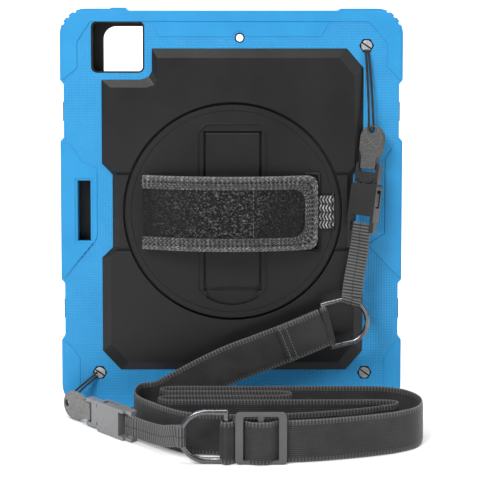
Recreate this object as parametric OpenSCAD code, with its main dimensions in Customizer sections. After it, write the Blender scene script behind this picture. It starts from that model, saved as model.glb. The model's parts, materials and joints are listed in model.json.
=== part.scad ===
// Rugged tablet case: a silicone sleeve over a hard back shell, a front frame, a turntable
// with a kickstand and a hand strap, and a shoulder strap that unclips with two buckles.
// +Z is up, the back of the case faces -Y, and the case stands on z = 0.

/* [Case] */
// Width of the case across its bumpers
case_w = 245; // [244:0.5:247]
// Height of the case
case_h = 290; // [290:0.5:291]
// Radius of the outer corners
corner_r = 19; // [14:1:22]
// How far the straight sides lie inside the bumpers
side_recess = 2.5; // [1.5:0.5:2.5]
// How far the straight top and bottom edges lie inside the bumpers
end_recess = 1.4; // [0.6:0.2:1.4]
// Plane of the front of the case
front_y = 17; // [17:0.5:18]
// Plane of the back face of the sleeve
sleeve_y = 3.2; // [2.8:0.1:3.4]

/* [Tablet bay] */
// Width of the bay, a 214.9 mm tablet with play
bay_w = 215.9; // [215.4:0.1:216]
// Height of the bay, a 280.6 mm tablet with play
bay_h = 281.6; // [281:0.1:281.8]
// Left wall of the bay
bay_x = -100.8; // [-101:0.1:-100.6]
// Bottom of the bay
bay_z = 4.2; // [4.1:0.1:4.4]
// Diameter of the pencil channel beside the tablet
pencil_d = 9.1; // [8.9:0.1:9.2]

/* [Back panel] */
// Half width of the raised panel
panel_half_w = 93.6; // [92:0.5:94]
// Top of the raised panel
panel_top = 261.4; // [260:0.5:263]
// Bottom of the raised panel
panel_bottom = 29.4; // [28:0.5:31]
// Outer plane of the raised panel
panel_y = -0.5; // [-0.8:0.1:-0.2]

/* [Turntable] */
// Turntable centre from the middle of the case
disc_x = 0.8; // [0:0.1:1.5]
// Turntable centre above the base
disc_z = 145; // [144:0.5:146]
// Radius of the turntable disc
disc_r = 76.5; // [76:0.5:77]
// Radius of the turntable hub
hub_r = 29.95; // [29.9:0.01:29.96]

/* [Kickstand] */
// Width of the kickstand leg
leg_w = 38; // [34:1:38]
// Distance from the hinge pin to the tip of the leg
leg_reach = 110.5; // [106:0.5:111]
// Radius of the kickstand hinge pin
leg_pin_r = 0.8; // [0.6:0.1:0.8]

/* [Hand strap] */
// Width of the hand strap
strap_w = 52; // [50:0.5:54]
// Half of the span of the arched strap
strap_half = 61.9; // [61.5:0.1:62]
// Rise of the arch from its ends to its middle
strap_rise = 11.8; // [11:0.1:11.9]

/* [Shoulder strap] */
// Width of the shoulder webbing
web_w = 27; // [25:1:27]
// Thickness of the shoulder webbing
web_t = 1.6; // [1.2:0.1:1.8]
// Width of the narrow link webbing
link_w = 14; // [12:1:14]
// Diameter of the thin corner cords
cord_d = 1.6; // [1.2:0.1:1.8]
// Turn of the upper buckle about its own length
upper_turn = 38; // [30:1:45]

/* [Hidden] */
$fn = 64;

gap = 0.3;
half_w = case_w / 2;
skin_in_y = 5.6;
floor_back_y = 5.7;
floor_front_y = 8.2;
wall_front_y = 15;
frame_back_y = 15.2;
shell_side = 1.5;
shell_end = 1.4;
shell_x0 = bay_x - shell_side;
shell_x1 = bay_x + bay_w + shell_side;
shell_z0 = bay_z - shell_end;
shell_z1 = bay_z + bay_h + shell_end;
frame_x0 = -113;
frame_x1 = 119;
pencil_x = -106.2;
pencil_y = 10.6;
pencil_z0 = 60;
pencil_z1 = 230;
camera_x = -81.2;
camera_z = 262.6;
camera_w = 38.1;
camera_h = 37;
mic_x = 5.9;
mic_z = 269.1;
hex_r = 5.4;
anchors = [[96.5, 263.5], [-95.2, 27.1], [96.2, 27.2]];
screw_head_r = 3.9;
screw_r = 1.5;
insert_r = 2.6;
clip_z = [[66.8, 80.6], [209.5, 223.3]];
clip_skin_x = half_w - side_recess + 0.9;
groove_depth = 1.1;
groove_w = 2.2;
small_clip_z = [143, 148.8];
power_x = -81.2;
volume_up_z = 257;
volume_down_z = 245.2;
power_len = 11.6;
volume_up_len = 8.3;
volume_down_len = 12;
button_y = 11.5;

pocket_r = disc_r + 2;
pocket_floor_y = 4.2;
disc_face_y = -0.9;
disc_back_y = 3.8;
flange_y = 5.9;
retainer_r = 36;
retainer_bolt_r = 33;
recess_half_w = leg_w / 2 + 5.1;
leg_gap = 1.8;
band_z0 = 116.4;
band_z1 = 173.6;
band_groove = 2.4;
recess_floor_y = -0.3;
leg_face_y = -0.6;
leg_back_y = 2.4;
pin_y = 0.9;
pin_z = 200.1;
tip_z = pin_z - leg_reach;

strap_x = -0.95;
strap_z0 = disc_z + 0.2 - strap_w / 2;
strap_z1 = strap_z0 + strap_w;
strap_top_y = -16.5;
strap_r = (strap_half * strap_half + strap_rise * strap_rise) / (2 * strap_rise);
strap_axis_y = strap_top_y + strap_r;
cover_t = 1.2;
pad_t = 3;
binding_t = 0.5;
binding_w = 9.4;
loop_r = 1.05;
loop_y = -2.5;
loop_x0 = 53;
loop_x1 = 62.4;
anchor_x = -59.5;
anchor_y = 1.3;
anchor_r = 1;
elastic_x = 72.6;
elastic_w = 24;
elastic_pin_r = 0.9;

// Points of the shoulder strap, from the upper ring down to the floor beside the case
climb_route = [[66, -17, 66], [52, -17.5, 60], [36, -18, 53.5], [20, -18.5, 47.5],
    [0, -19, 40], [-18, -19.5, 31.5], [-34, -20, 23], [-48, -20, 15.5], [-56, -20.5, 13.7]];
// Points of the strap's folds on the floor, seen from above, ending behind the slider
floor_route = [[-56.6, -20.5], [-63, -24], [-66, -33], [-65.5, -45], [-60.5, -55.5], [-51.5, -66],
    [-41, -77], [-28, -85.5], [-10, -89], [10, -89.8], [45, -86.5], [80, -79], [100, -72], [108, -68.5],
    [110.5, -65], [108, -61.5], [100, -60], [70, -60], [35, -60], [0, -60], [-30, -60],
    [-43, -59.5], [-49, -55], [-44, -50.8], [-32, -50], [0, -50], [28, -50], [38, -48.5],
    [41, -45], [38, -41.5], [28, -40], [0, -40], [-32, -40], [-43, -39.5], [-49, -35],
    [-44, -30.8], [-32, -30], [0, -30], [40, -30], [80, -30], [104, -31], [118, -37],
    [126, -49], [127, -62], [121, -75], [108, -84], [92, -90], [74, -95], [56, -99],
    [40, -101.3], [30, -101.8], [23, -105.6], [14, -105.6], [6, -101.4], [0, -104.3],
    [-3.5, -105.6], [-6.6, -103], [-4, -99.7], [4, -98.6], [20, -98.4]];
web_mid_z = web_w / 2 + 0.4;
ring_wire_r = 1.8;
lower_ring_x = -3.4;
ring_y = -102.8;
slider_x0 = 2.4;
slider_w = 32.6;
slider_h = 33;
slider_y0 = -105;
slider_y1 = -102;

upper_top = [101.3, -3.6, 206.8];
upper_lean = 97.3;
upper_pitch = -6.1;
lower_top = [-118.2, -11, 10.5];
lower_yaw = -45;
upper_cord_route = [[97.4, 2.4, 260.6], [97.9, 1.6, 257], [98.6, 0.9, 250], [99.4, 0.2, 240],
    [100.1, -0.8, 228], [100.6, -2.1, 216], [100.9, -3.2, 208], [101, -3.6, 204.2],
    [99.4, -3.7, 202.2], [97.6, -3.8, 204.4], [97.6, -3.2, 209], [97.6, -2, 217],
    [97.3, -0.7, 229], [96.8, 0.3, 241], [96.2, 1, 251], [95.7, 1.7, 257.4], [95.4, 2.4, 260.6]];
lower_cord_route = [[-96.8, 2.4, 24.6], [-98.6, 1.2, 23.8], [-102, -1.6, 21.4],
    [-107, -5.8, 17.6], [-111.6, -9.8, 13.4], [-114.2, -12.4, 10.4], [-116.2, -14, 9.3],
    [-116.6, -13, 11.6], [-113.4, -9.6, 15.4], [-108.6, -5.2, 19.2], [-103.4, -1.4, 22.8],
    [-98.6, 1.6, 26.4], [-97, 2.4, 27.6]];
upper_link_route = [[91.7, -11.7, 132], [90.4, -12.4, 122], [88.4, -13.4, 110],
    [86.2, -14.8, 98], [84.8, -16.4, 88], [84.4, -17, 84.4]];
lower_link_route = [[-64.6, -64.6, 10.5], [-56, -73.4, 10.5], [-49, -81.6, 11.4],
    [-43.2, -90, 13.2], [-37.6, -97.6, 16], [-31.8, -102.6, 17.6]];

// ---- general helpers ----

// Extrudes an outline drawn in the X-Z plane from y0 to y1
module slab(y0, y1) {
    translate([0, y1, 0]) rotate([90, 0, 0]) linear_extrude(y1 - y0) children();
}

// A rectangle with true round corners
module round_box(x0, z0, x1, z1, r) {
    translate([x0 + r, z0]) square([x1 - x0 - 2 * r, z1 - z0]);
    translate([x0, z0 + r]) square([x1 - x0, z1 - z0 - 2 * r]);
    for (x = [x0 + r, x1 - r], z = [z0 + r, z1 - r]) translate([x, z]) circle(r);
}

module block(x0, x1, y0, y1, z0, z1) {
    translate([x0, y0, z0]) cube([x1 - x0, y1 - y0, z1 - z0]);
}

// A round bar along Y
module bar_y(x, z, r, y0, y1) {
    translate([x, y1, z]) rotate([90, 0, 0]) cylinder(r = r, h = y1 - y0);
}

// Curve through the given points, split into steps
function between(a, b, c, d, t) =
    0.5 * ((2 * b) + (c - a) * t + (2 * a - 5 * b + 4 * c - d) * t * t
    + (3 * b - a - 3 * c + d) * t * t * t);
function smooth(p, steps) = [
    for (i = [0 : len(p) - 2], s = [0 : steps - 1])
        between(p[max(i - 1, 0)], p[i], p[i + 1], p[min(i + 2, len(p) - 1)], s / steps),
    p[len(p) - 1]
];
function unit(v) = v / norm(v);
function heading(p, i) = unit(p[min(i + 1, len(p) - 1)] - p[max(i - 1, 0)]);

// A round tube swept along a route
module tube(route, d, sides) {
    n = len(route);
    rings = [
        for (i = [0 : n - 1])
            let (
                along = heading(route, i),
                side = unit(cross(along, [0.13, 0.96, 0.21])),
                up = cross(side, along)
            )
            for (k = [0 : sides - 1])
                route[i] + d / 2 * (cos(360 * k / sides) * side + sin(360 * k / sides) * up)
    ];
    walls = [
        for (i = [0 : n - 2], k = [0 : sides - 1])
            let (next = (k + 1) % sides)
            [i * sides + k, i * sides + next, (i + 1) * sides + next, (i + 1) * sides + k]
    ];
    first = [for (k = [sides - 1 : -1 : 0]) k];
    last = [for (k = [0 : sides - 1]) (n - 1) * sides + k];
    polyhedron(rings, concat([first], walls, [last]));
}

// A flat ribbon swept along a route, its width lying square to the route and to facing
module ribbon(route, w, t, facing0, facing1) {
    n = len(route);
    rings = [
        for (i = [0 : n - 1])
            let (
                along = heading(route, i),
                facing = facing0 + (facing1 - facing0) * i / (n - 1),
                across = unit(cross(along, facing)),
                up = cross(across, along)
            )
            for (c = [[-1, -1], [1, -1], [1, 1], [-1, 1]])
                route[i] + c[0] * w / 2 * across + c[1] * t / 2 * up
    ];
    walls = [
        for (i = [0 : n - 2], k = [0 : 3])
            let (next = (k + 1) % 4, a = i * 4, b = a + 4)
            each [[a + k, a + next, b + next], [a + k, b + next, b + k]]
    ];
    polyhedron(rings, concat([[3, 2, 1, 0]], walls, [[for (k = [0 : 3]) (n - 1) * 4 + k]]));
}

// Outline of a strip that follows a plan route
module strip(route, t) {
    n = len(route);
    left = [for (i = [0 : n - 1]) let (a = heading(route, i)) route[i] + t / 2 * [-a[1], a[0]]];
    right = [for (i = [n - 1 : -1 : 0]) let (a = heading(route, i)) route[i] - t / 2 * [-a[1], a[0]]];
    polygon(concat(left, right));
}

// ---- case ----

// Recess between two bumpers, cut into the edge of the outline
module side_cut(z0, z1) {
    polygon([[half_w + 1, z0], [half_w, z0], [half_w - side_recess, z0 + 3],
        [half_w - side_recess, z1 - 3], [half_w, z1], [half_w + 1, z1]]);
}

module end_cut() {
    polygon([[-75.4, -1], [-75.4, 0], [-73.4, end_recess], [76.1, end_recess], [78.1, 0], [78.1, -1]]);
}

module case_outline() {
    difference() {
        round_box(-half_w, 0, half_w, case_h, corner_r);
        for (s = [0, 1], span = [[51.3, 95.4], [195.1, 239.1]])
            mirror([s, 0]) side_cut(span[0], span[1]);
        end_cut();
        translate([0, case_h]) mirror([0, 1]) end_cut();
        // grip grooves round the upper corners
        for (s = [0, 1], a = [27, 45, 63]) mirror([s, 0])
            translate([half_w - corner_r, case_h - corner_r]) rotate(a)
            translate([corner_r - groove_depth, -groove_w / 2]) square([2 * groove_depth, groove_w]);
    }
}

// Outline of the raised panel, with waisted sides and a corner left out for the camera
module panel_outline(grow) {
    x0 = disc_x - panel_half_w - grow;
    x1 = disc_x + panel_half_w + grow;
    z0 = panel_bottom - grow;
    z1 = panel_top + grow;
    notch_x = -56.7 - grow;
    notch_z = 239.1 + grow;
    polygon([[x0 + 13, z0], [x1 - 12, z0], [x1, z0 + 14], [x1, 111.2], [x1 - 7, 118.6],
        [x1 - 7, 171.2], [x1, 179.2], [x1, z1 - 14], [x1 - 12, z1], [notch_x, z1],
        [notch_x, notch_z + 6], [notch_x - 2.4, notch_z + 2], [notch_x - 8, notch_z],
        [x0, notch_z], [x0, 179.2], [x0 + 7.6, 171.2], [x0 + 7.6, 118.6], [x0, 111.2],
        [x0, z0 + 14]]);
}

module camera_outline(grow) {
    round_box(camera_x - camera_w / 2 - grow, camera_z - camera_h / 2 - grow,
        camera_x + camera_w / 2 + grow, camera_z + camera_h / 2 + grow, 4.4 + grow);
}

module pencil_window(grow) {
    translate([-110.6 - grow, 123.2 - grow]) square([9.5 + 2 * grow, 43.7 + 2 * grow]);
}

// Room for the four frame clips and the small middle one, open to the front
module clip_room(play) {
    for (s = [-1, 1], z = clip_z) {
        x = s < 0 ? -clip_skin_x - play : clip_skin_x - 1.8 - play;
        block(x, x + 1.8 + 2 * play, 6 - play, front_y, z[0] - play, z[1] + play);
        block(s < 0 ? -clip_skin_x + 0.5 : frame_x1 - 1, s < 0 ? frame_x0 + 1 : clip_skin_x - 0.5,
            frame_back_y - play, front_y, z[0] - play, z[1] + play);
    }
    block(half_w - 1.8 - play, half_w + play, 6 - play, front_y,
        small_clip_z[0] - play, small_clip_z[1] + play);
    block(frame_x1 - 1, half_w - 0.5, frame_back_y - play, front_y,
        small_clip_z[0] - play, small_clip_z[1] + play);
}

module shell_outline(grow) {
    round_box(shell_x0 - grow, shell_z0 - grow, shell_x1 + grow, shell_z1 + grow, 14 + grow);
}

// Button pad and the shank that reaches the tablet, lying along +X from the pad's face.
// The room around it is deeper than the pad by the travel and a gap.
module button_shape(pad_len, pad_depth, shank_len, play) {
    translate([-play, 0, 0]) rotate([90, 0, 90]) linear_extrude(pad_depth + 4 * play)
        round_box(-pad_len / 2 - play, -2.2 - play, pad_len / 2 + play, 2.2 + play, 2.1);
    rotate([0, 90, 0]) cylinder(r = 1.3 + play, h = shank_len + play);
}

// Places a button lying along +X on the left edge or on the top edge
module on_left(z) {
    translate([-half_w - 0.7, button_y, z]) rotate([90, 0, 0]) children();
}

module on_top() {
    translate([power_x, button_y, case_h + 0.9]) rotate([0, 90, 0]) rotate([90, 0, 0]) children();
}

module silicone_sleeve() color([0.16, 0.62, 0.93]) {
    difference() {
        slab(sleeve_y, front_y) case_outline();
        slab(skin_in_y, front_y + 1) shell_outline(0.1);
        slab(wall_front_y, front_y + 1)
            round_box(frame_x0 - gap, 2.5, frame_x1 + gap, 287.5, 15);
        slab(sleeve_y - 1, skin_in_y + 1) panel_outline(0.1);
        slab(sleeve_y - 1, skin_in_y + 1) camera_outline(0);
        slab(sleeve_y - 1, skin_in_y + 1) pencil_window(0);
        block(pencil_x - pencil_d / 2, shell_x0, pencil_y - pencil_d / 2, front_y,
            pencil_z0, pencil_z1);
        bar_y(mic_x, mic_z, 3.6, sleeve_y - 1, skin_in_y + 1);
        for (a = anchors) slab(sleeve_y - 1, skin_in_y + 1) translate(a) circle(hex_r, $fn = 6);
        clip_room(gap);
        on_left(volume_up_z) button_shape(volume_up_len, 5, 22.6, gap);
        on_left(volume_down_z) button_shape(volume_down_len, 5, 22.6, gap);
        on_top() button_shape(power_len, 2.4, 6, gap);
        block(mic_x - 6, mic_x + 8, 9, 14.4, -1, 5);
    }
}

// ---- hard parts of the case ----

module back_shell() color([0.12, 0.12, 0.13]) {
    difference() {
        union() {
            difference() {
                slab(floor_back_y, wall_front_y) shell_outline(0);
                slab(floor_front_y, wall_front_y + 1)
                    round_box(bay_x, bay_z, bay_x + bay_w, bay_z + bay_h, 12.6);
            }
            // bevelled panel that stands through the sleeve
            translate([disc_x, sleeve_y, disc_z]) rotate([90, 0, 0])
                linear_extrude(sleeve_y - panel_y, scale = [0.93, 0.943], slices = 1)
                translate([-disc_x, -disc_z]) panel_outline(0);
            slab(sleeve_y, floor_back_y + 0.5) panel_outline(0);
            slab(sleeve_y + 0.3, floor_back_y + 0.5) camera_outline(-0.1);
        }
        slab(0, wall_front_y + 1) camera_outline(-1.2);
        slab(sleeve_y, floor_front_y + 1) pencil_window(0);
        block(shell_x0 - 1, bay_x + 0.5, pencil_y - pencil_d / 2, wall_front_y + 1,
            pencil_z0, pencil_z1);
        bar_y(mic_x, mic_z, 2.6, sleeve_y, floor_front_y + 1);
        bar_y(disc_x, disc_z, pocket_r, panel_y - 1, pocket_floor_y);
        bar_y(disc_x, disc_z, 30, panel_y - 1, floor_front_y + 1);
        bar_y(disc_x, disc_z, retainer_r + 1, flange_y, floor_front_y + 1);
        // lower bands beside the turntable
        for (s = [0, 1]) translate([disc_x, 0, 0]) mirror([s, 0, 0])
            block(60, 100, panel_y - 1, panel_y + 0.9, band_z0, band_z1);
        for (s = [0, 1], z = [band_z0, band_z1 - band_groove])
            translate([disc_x, 0, 0]) mirror([s, 0, 0])
            block(60, 100, panel_y - 1, panel_y + 2.4, z, z + band_groove);
        for (a = anchors) bar_y(a[0], a[1], insert_r, floor_back_y - 1, 8);
        for (z = [volume_up_z, volume_down_z])
            on_left(z) rotate([0, 90, 0]) cylinder(r = 1.3 + gap, h = 30);
        translate([power_x, button_y, bay_z + bay_h - 3]) cylinder(r = 1.3 + gap, h = 10);
        block(mic_x - 6, mic_x + 8, 9, 14.4, -1, 5);
    }
}

module front_frame() color([0.1, 0.1, 0.11]) {
    difference() {
        slab(frame_back_y, front_y) round_box(frame_x0, 2.8, frame_x1, 287.2, 14.7);
        slab(frame_back_y - 1, front_y + 1)
            round_box(bay_x + 8.3, bay_z + 8.3, bay_x + bay_w - 8.3, bay_z + bay_h - 8.3, 9);
    }
    clip_room(0);
}

module corner_inserts() color([0.75, 0.6, 0.3]) {
    for (a = anchors) difference() {
        bar_y(a[0], a[1], insert_r, floor_back_y, 8);
        bar_y(a[0], a[1], screw_r, floor_back_y - 1, 9);
    }
}

module corner_screws() color([0.7, 0.7, 0.72]) {
    for (a = anchors) difference() {
        union() {
            bar_y(a[0], a[1], screw_head_r, 3.3, 4.5);
            bar_y(a[0], a[1], screw_r, 4.5, 7.8);
        }
        translate([a[0], 3.3, a[1]]) rotate([0, 35, 0]) cube([9, 1, 0.9], center = true);
    }
}

module power_button() color([0.16, 0.62, 0.93]) {
    on_top() button_shape(power_len, 2.4, 4.6, 0);
}

module volume_up_button() color([0.16, 0.62, 0.93]) {
    on_left(volume_up_z) button_shape(volume_up_len, 5, 21.6, 0);
}

module volume_down_button() color([0.16, 0.62, 0.93]) {
    on_left(volume_down_z) button_shape(volume_down_len, 5, 21.6, 0);
}

// ---- turntable ----

module at_disc() {
    translate([disc_x, 0, disc_z]) children();
}

module leg_recess(half, z0, z1, cut) {
    polygon([[disc_x - half + cut, z0], [disc_x + half - cut, z0], [disc_x + half, z0 + cut],
        [disc_x + half, z1 - cut], [disc_x + half - cut, z1], [disc_x - half + cut, z1],
        [disc_x - half, z1 - cut], [disc_x - half, z0 + cut]]);
}

module screw_ring(r, y0, y1) {
    for (a = [0 : 60 : 300])
        bar_y(disc_x + retainer_bolt_r * 0.72 * cos(a), disc_z + retainer_bolt_r * 0.72 * sin(a),
            r, y0, y1);
}

module turntable_disc() color([0.12, 0.12, 0.13]) {
    difference() {
        union() {
            bar_y(disc_x, disc_z, disc_r, disc_face_y, disc_back_y);
            bar_y(disc_x, disc_z, hub_r, disc_back_y, flange_y + 0.1);
        }
        // ring line near the edge
        difference() {
            bar_y(disc_x, disc_z, 72.7, disc_face_y - 1, disc_face_y + 0.4);
            bar_y(disc_x, disc_z, 72, disc_face_y - 2, disc_face_y + 1);
        }
        slab(disc_face_y - 1, recess_floor_y) leg_recess(recess_half_w, 83.1, 207.4, 6);
        block(disc_x - leg_w / 2 - leg_gap, disc_x + leg_w / 2 + leg_gap, disc_face_y - 1, leg_back_y + 0.1,
            tip_z - leg_gap, pin_z + 2.6);
        // finger scoop under the leg's foot
        intersection() {
            bar_y(disc_x, 111.4, 34, disc_face_y - 1, 2.2);
            block(disc_x - 18.5, disc_x + 18.5, disc_face_y - 2, 3, 76, tip_z + 2);
        }
        translate([disc_x - leg_w / 2 - 4, pin_y, pin_z]) rotate([0, 90, 0])
            cylinder(r = leg_pin_r, h = leg_w + 8);
        block(anchor_x - 2.1, anchor_x + 2.1, disc_face_y - 1, 3.1, 121.5, 169);
        translate([anchor_x, anchor_y, 118.5]) cylinder(r = anchor_r, h = 53.5);
        block(elastic_x - 1.4, elastic_x + 1.4, disc_face_y - 1, 3.1,
            disc_z - elastic_w / 2 - 1, disc_z + elastic_w / 2 + 1);
        translate([elastic_x, 1.6, disc_z - 15.5]) cylinder(r = elastic_pin_r, h = 31);
        screw_ring(1, 3.2, 7);
    }
}

module turntable_washer() color([0.85, 0.85, 0.82]) {
    difference() {
        bar_y(disc_x, disc_z, 70, disc_back_y + 0.1, pocket_floor_y);
        bar_y(disc_x, disc_z, 62, disc_back_y - 1, pocket_floor_y + 1);
    }
}

module turntable_retainer() color([0.6, 0.6, 0.62]) {
    difference() {
        bar_y(disc_x, disc_z, retainer_r, flange_y + 0.1, 7.2);
        bar_y(disc_x, disc_z, 12, flange_y - 1, 8);
        screw_ring(1.2, flange_y - 1, 8);
    }
}

module retainer_screws() color([0.7, 0.7, 0.72]) {
    screw_ring(1, 3.2, 7.2);
    screw_ring(1.9, 7.2, 8);
}

module kickstand_leg() color([0.12, 0.12, 0.13]) {
    difference() {
        union() {
            slab(leg_face_y, leg_back_y) difference() {
                leg_recess(leg_w / 2, tip_z, pin_z + 4, 3.4);
                translate([disc_x - leg_w, pin_z]) square([2 * leg_w, 20]);
                translate([disc_x, tip_z - 129]) circle(130.4, $fn = 180);
            }
            translate([disc_x - leg_w / 2, pin_y, pin_z]) rotate([0, 90, 0])
                cylinder(r = leg_back_y - pin_y, h = leg_w);
        }
        translate([-40, pin_y, pin_z]) rotate([0, 90, 0]) cylinder(r = leg_pin_r + 0.05, h = 90);
    }
}

module kickstand_pin() color([0.75, 0.75, 0.77]) {
    translate([disc_x - leg_w / 2 - 3.9, pin_y, pin_z]) rotate([0, 90, 0])
        cylinder(r = leg_pin_r, h = leg_w + 7.8);
}

// ---- hand strap ----

// Part of the arch between two depths under the strap's outer face
module arch(depth0, depth1, x0, x1, z0, z1) {
    intersection() {
        translate([strap_x, strap_axis_y, z0]) difference() {
            cylinder(r = strap_r - depth0, h = z1 - z0, $fn = 360);
            translate([0, 0, -1]) cylinder(r = strap_r - depth1, h = z1 - z0 + 2, $fn = 360);
        }
        block(x0, x1, strap_top_y - 2, 3, z0, z1);
    }
}

strap_x0 = strap_x - strap_half;
strap_x1 = strap_x + strap_half;

module hand_strap_cover() color([0.1, 0.1, 0.1]) {
    arch(0, cover_t, strap_x0, strap_x1, strap_z0 + 0.7, strap_z1 - 0.7);
}

module hand_strap_padding() color([0.16, 0.16, 0.17]) {
    arch(cover_t, pad_t, strap_x0, strap_x1, strap_z0 + 0.7, strap_z1 - 0.7);
}

module hand_strap_binding() color([0.18, 0.18, 0.19]) {
    difference() {
        arch(-binding_t, pad_t + binding_t, strap_x0, strap_x1 + 0.4, strap_z0, strap_z1);
        arch(0, pad_t, strap_x0 - 1, strap_x1, strap_z0 + 0.7, strap_z1 - 0.7);
        arch(-3, 0, strap_x0 - 1, strap_x1 - binding_w, strap_z0 + binding_w, strap_z1 - binding_w);
        arch(pad_t, pad_t + 3, strap_x0 - 1, strap_x1 + 1, strap_z0 + 3, strap_z1 - 3);
    }
}

// Webbing loop under the strap, down to a bar
module tail(x, bar_y0, bar_r, low_y) {
    difference() {
        intersection() {
            translate([strap_x, strap_axis_y, strap_z0 + 4.5])
                cylinder(r = strap_r - pad_t, h = strap_w - 9, $fn = 360);
            block(x - 1.9, x + 1.9, -8, low_y, strap_z0 + 4.5, strap_z1 - 4.5);
        }
        translate([x, bar_y0, strap_z0]) cylinder(r = bar_r, h = strap_w);
    }
}

module hand_strap_left_tail() color([0.14, 0.14, 0.15]) {
    tail(anchor_x, anchor_y, anchor_r, 2.9);
}

module hand_strap_right_tail() color([0.14, 0.14, 0.15]) {
    tail(loop_x0, loop_y, loop_r, -1.1);
}

module hand_strap_loop() color([0.3, 0.3, 0.31]) {
    z0 = strap_z0 - 1.2;
    z1 = strap_z1 + 1.2;
    for (x = [loop_x0, loop_x1]) translate([x, loop_y, z0]) cylinder(r = loop_r, h = z1 - z0);
    for (z = [z0, z1]) {
        translate([loop_x0, loop_y, z]) rotate([0, 90, 0])
            cylinder(r = loop_r, h = loop_x1 - loop_x0);
        for (x = [loop_x0, loop_x1]) translate([x, loop_y, z]) sphere(loop_r, $fn = 32);
    }
}

module hand_strap_elastic() color([0.2, 0.2, 0.21]) {
    z0 = disc_z - elastic_w / 2;
    difference() {
        union() {
            block(loop_x1, elastic_x + 1, -3.9, -1.1, z0, z0 + elastic_w);
            block(elastic_x - 1.1, elastic_x + 1.1, -3.9, 2.9, z0, z0 + elastic_w);
        }
        translate([loop_x1, loop_y, z0 - 1]) cylinder(r = loop_r, h = elastic_w + 2);
        translate([elastic_x, 1.6, z0 - 1]) cylinder(r = elastic_pin_r, h = elastic_w + 2);
    }
}

module strap_anchor_bar() color([0.7, 0.7, 0.72]) {
    translate([anchor_x, anchor_y, 118.5]) cylinder(r = anchor_r, h = 53.5);
}

module elastic_anchor_bar() color([0.7, 0.7, 0.72]) {
    translate([elastic_x, 1.6, disc_z - 15.5]) cylinder(r = elastic_pin_r, h = 31);
}

// ---- buckles: length along +X, width along Z, thickness along Y ----

module place_upper() {
    translate(upper_top) rotate([0, upper_lean, 0]) rotate([0, 0, upper_pitch])
        rotate([upper_turn, 0, 0]) children();
}

module place_lower() {
    translate(lower_top) rotate([0, 0, lower_yaw]) children();
}

module tab_shape() {
    difference() {
        union() {
            slab(-1.6, 1.6) difference() {
                union() {
                    translate([9.4, 0]) circle(9.4);
                    polygon([[9.4, -9.4], [18, -9], [23, -6.6], [23, 6.6], [18, 9], [9.4, 9.4]]);
                }
                translate([3.4, 0]) circle(2.4);
            }
            block(22.5, 31, -2.4, 2.4, -6, 6);
        }
        block(27.1, 29.3, -1.1, 1.1, -7, 7);
    }
}

module plug_shape() {
    block(27.2, 29.2, -1, 1, -9, 9);
    difference() {
        union() {
            for (s = [-1, 1]) block(27.2, 33.5, -2.6, 2.6, s < 0 ? -9.4 : 7, s < 0 ? -7 : 9.4);
            block(33, 41, -2.6, 2.6, -9.4, 9.4);
        }
        for (s = [-1, 1]) {
            bar_y(40, s * 6.2, 1.55, -3, 3);
            block(40, 42, -3, 3, s * 6.2 - 2.2, s * 6.2 + 2.2);
        }
    }
    block(40.5, 57, -1.5, 1.5, -1.6, 1.6);
}

module arm_shape(s) {
    bar_y(40, s * 6.2, 1.5, -2, 2);
    slab(-2, 2) mirror([0, s < 0 ? 1 : 0])
        polygon([[40, 5.2], [41, 5], [50, 4.6], [58, 5.2], [59, 6.4], [58.6, 8.2], [56.6, 9.8],
            [47.4, 9.9], [46.4, 7.4], [41, 7.3], [40, 7.2]]);
}

module socket_shape() {
    difference() {
        union() {
            slab(-4.2, 4.2) round_box(41.4, -10.3, 69, 10.3, 1.5);
            for (s = [-1, 1]) block(66, 75.5, -2.4, 2.4, s < 0 ? -10.3 : 8, s < 0 ? -8 : 10.3);
            block(71, 75.5, -1.2, 1.2, -9, 9);
        }
        block(41, 60.5, -2.4, 2.4, -8.8, 8.8);
        block(45.2, 57.8, -2.4, 2.4, -11, 11);
        slab(-5, 5) translate([64, -8]) square([7, 16]);
    }
}

// Webbing folded round the socket's end bar
module link_fold() {
    difference() {
        block(68.6, 77, -2.4, 2.4, -link_w / 2, link_w / 2);
        block(70.9, 75.6, -1.3, 1.3, -link_w, link_w);
    }
}

module upper_tab() color([0.2, 0.18, 0.17]) place_upper() tab_shape();
module lower_tab() color([0.2, 0.18, 0.17]) place_lower() tab_shape();
module upper_buckle_plug() color([0.25, 0.25, 0.26]) place_upper() plug_shape();
module lower_buckle_plug() color([0.25, 0.25, 0.26]) place_lower() plug_shape();
module upper_buckle_arm_left() color([0.25, 0.25, 0.26]) place_upper() arm_shape(-1);
module upper_buckle_arm_right() color([0.25, 0.25, 0.26]) place_upper() arm_shape(1);
module lower_buckle_arm_left() color([0.25, 0.25, 0.26]) place_lower() arm_shape(-1);
module lower_buckle_arm_right() color([0.25, 0.25, 0.26]) place_lower() arm_shape(1);
module upper_buckle_socket() color([0.22, 0.22, 0.23]) place_upper() socket_shape();
module lower_buckle_socket() color([0.22, 0.22, 0.23]) place_lower() socket_shape();

// ---- shoulder strap ----

module upper_corner_cord() color([0.08, 0.08, 0.08]) tube(smooth(upper_cord_route, 3), cord_d, 8);
module lower_corner_cord() color([0.08, 0.08, 0.08]) tube(smooth(lower_cord_route, 3), cord_d, 8);

module upper_link_webbing() color([0.1, 0.1, 0.1]) {
    place_upper() link_fold();
    ribbon(smooth(upper_link_route, 2), link_w - 0.6, 2, [0.61, 0.79, -0.08], [0, 1, 0]);
}

module lower_link_webbing() color([0.1, 0.1, 0.1]) {
    place_lower() link_fold();
    ribbon(smooth(lower_link_route, 2), link_w - 0.6, 2, [0.7, 0.7, 0], [0.7, 0.7, 0]);
}

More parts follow.
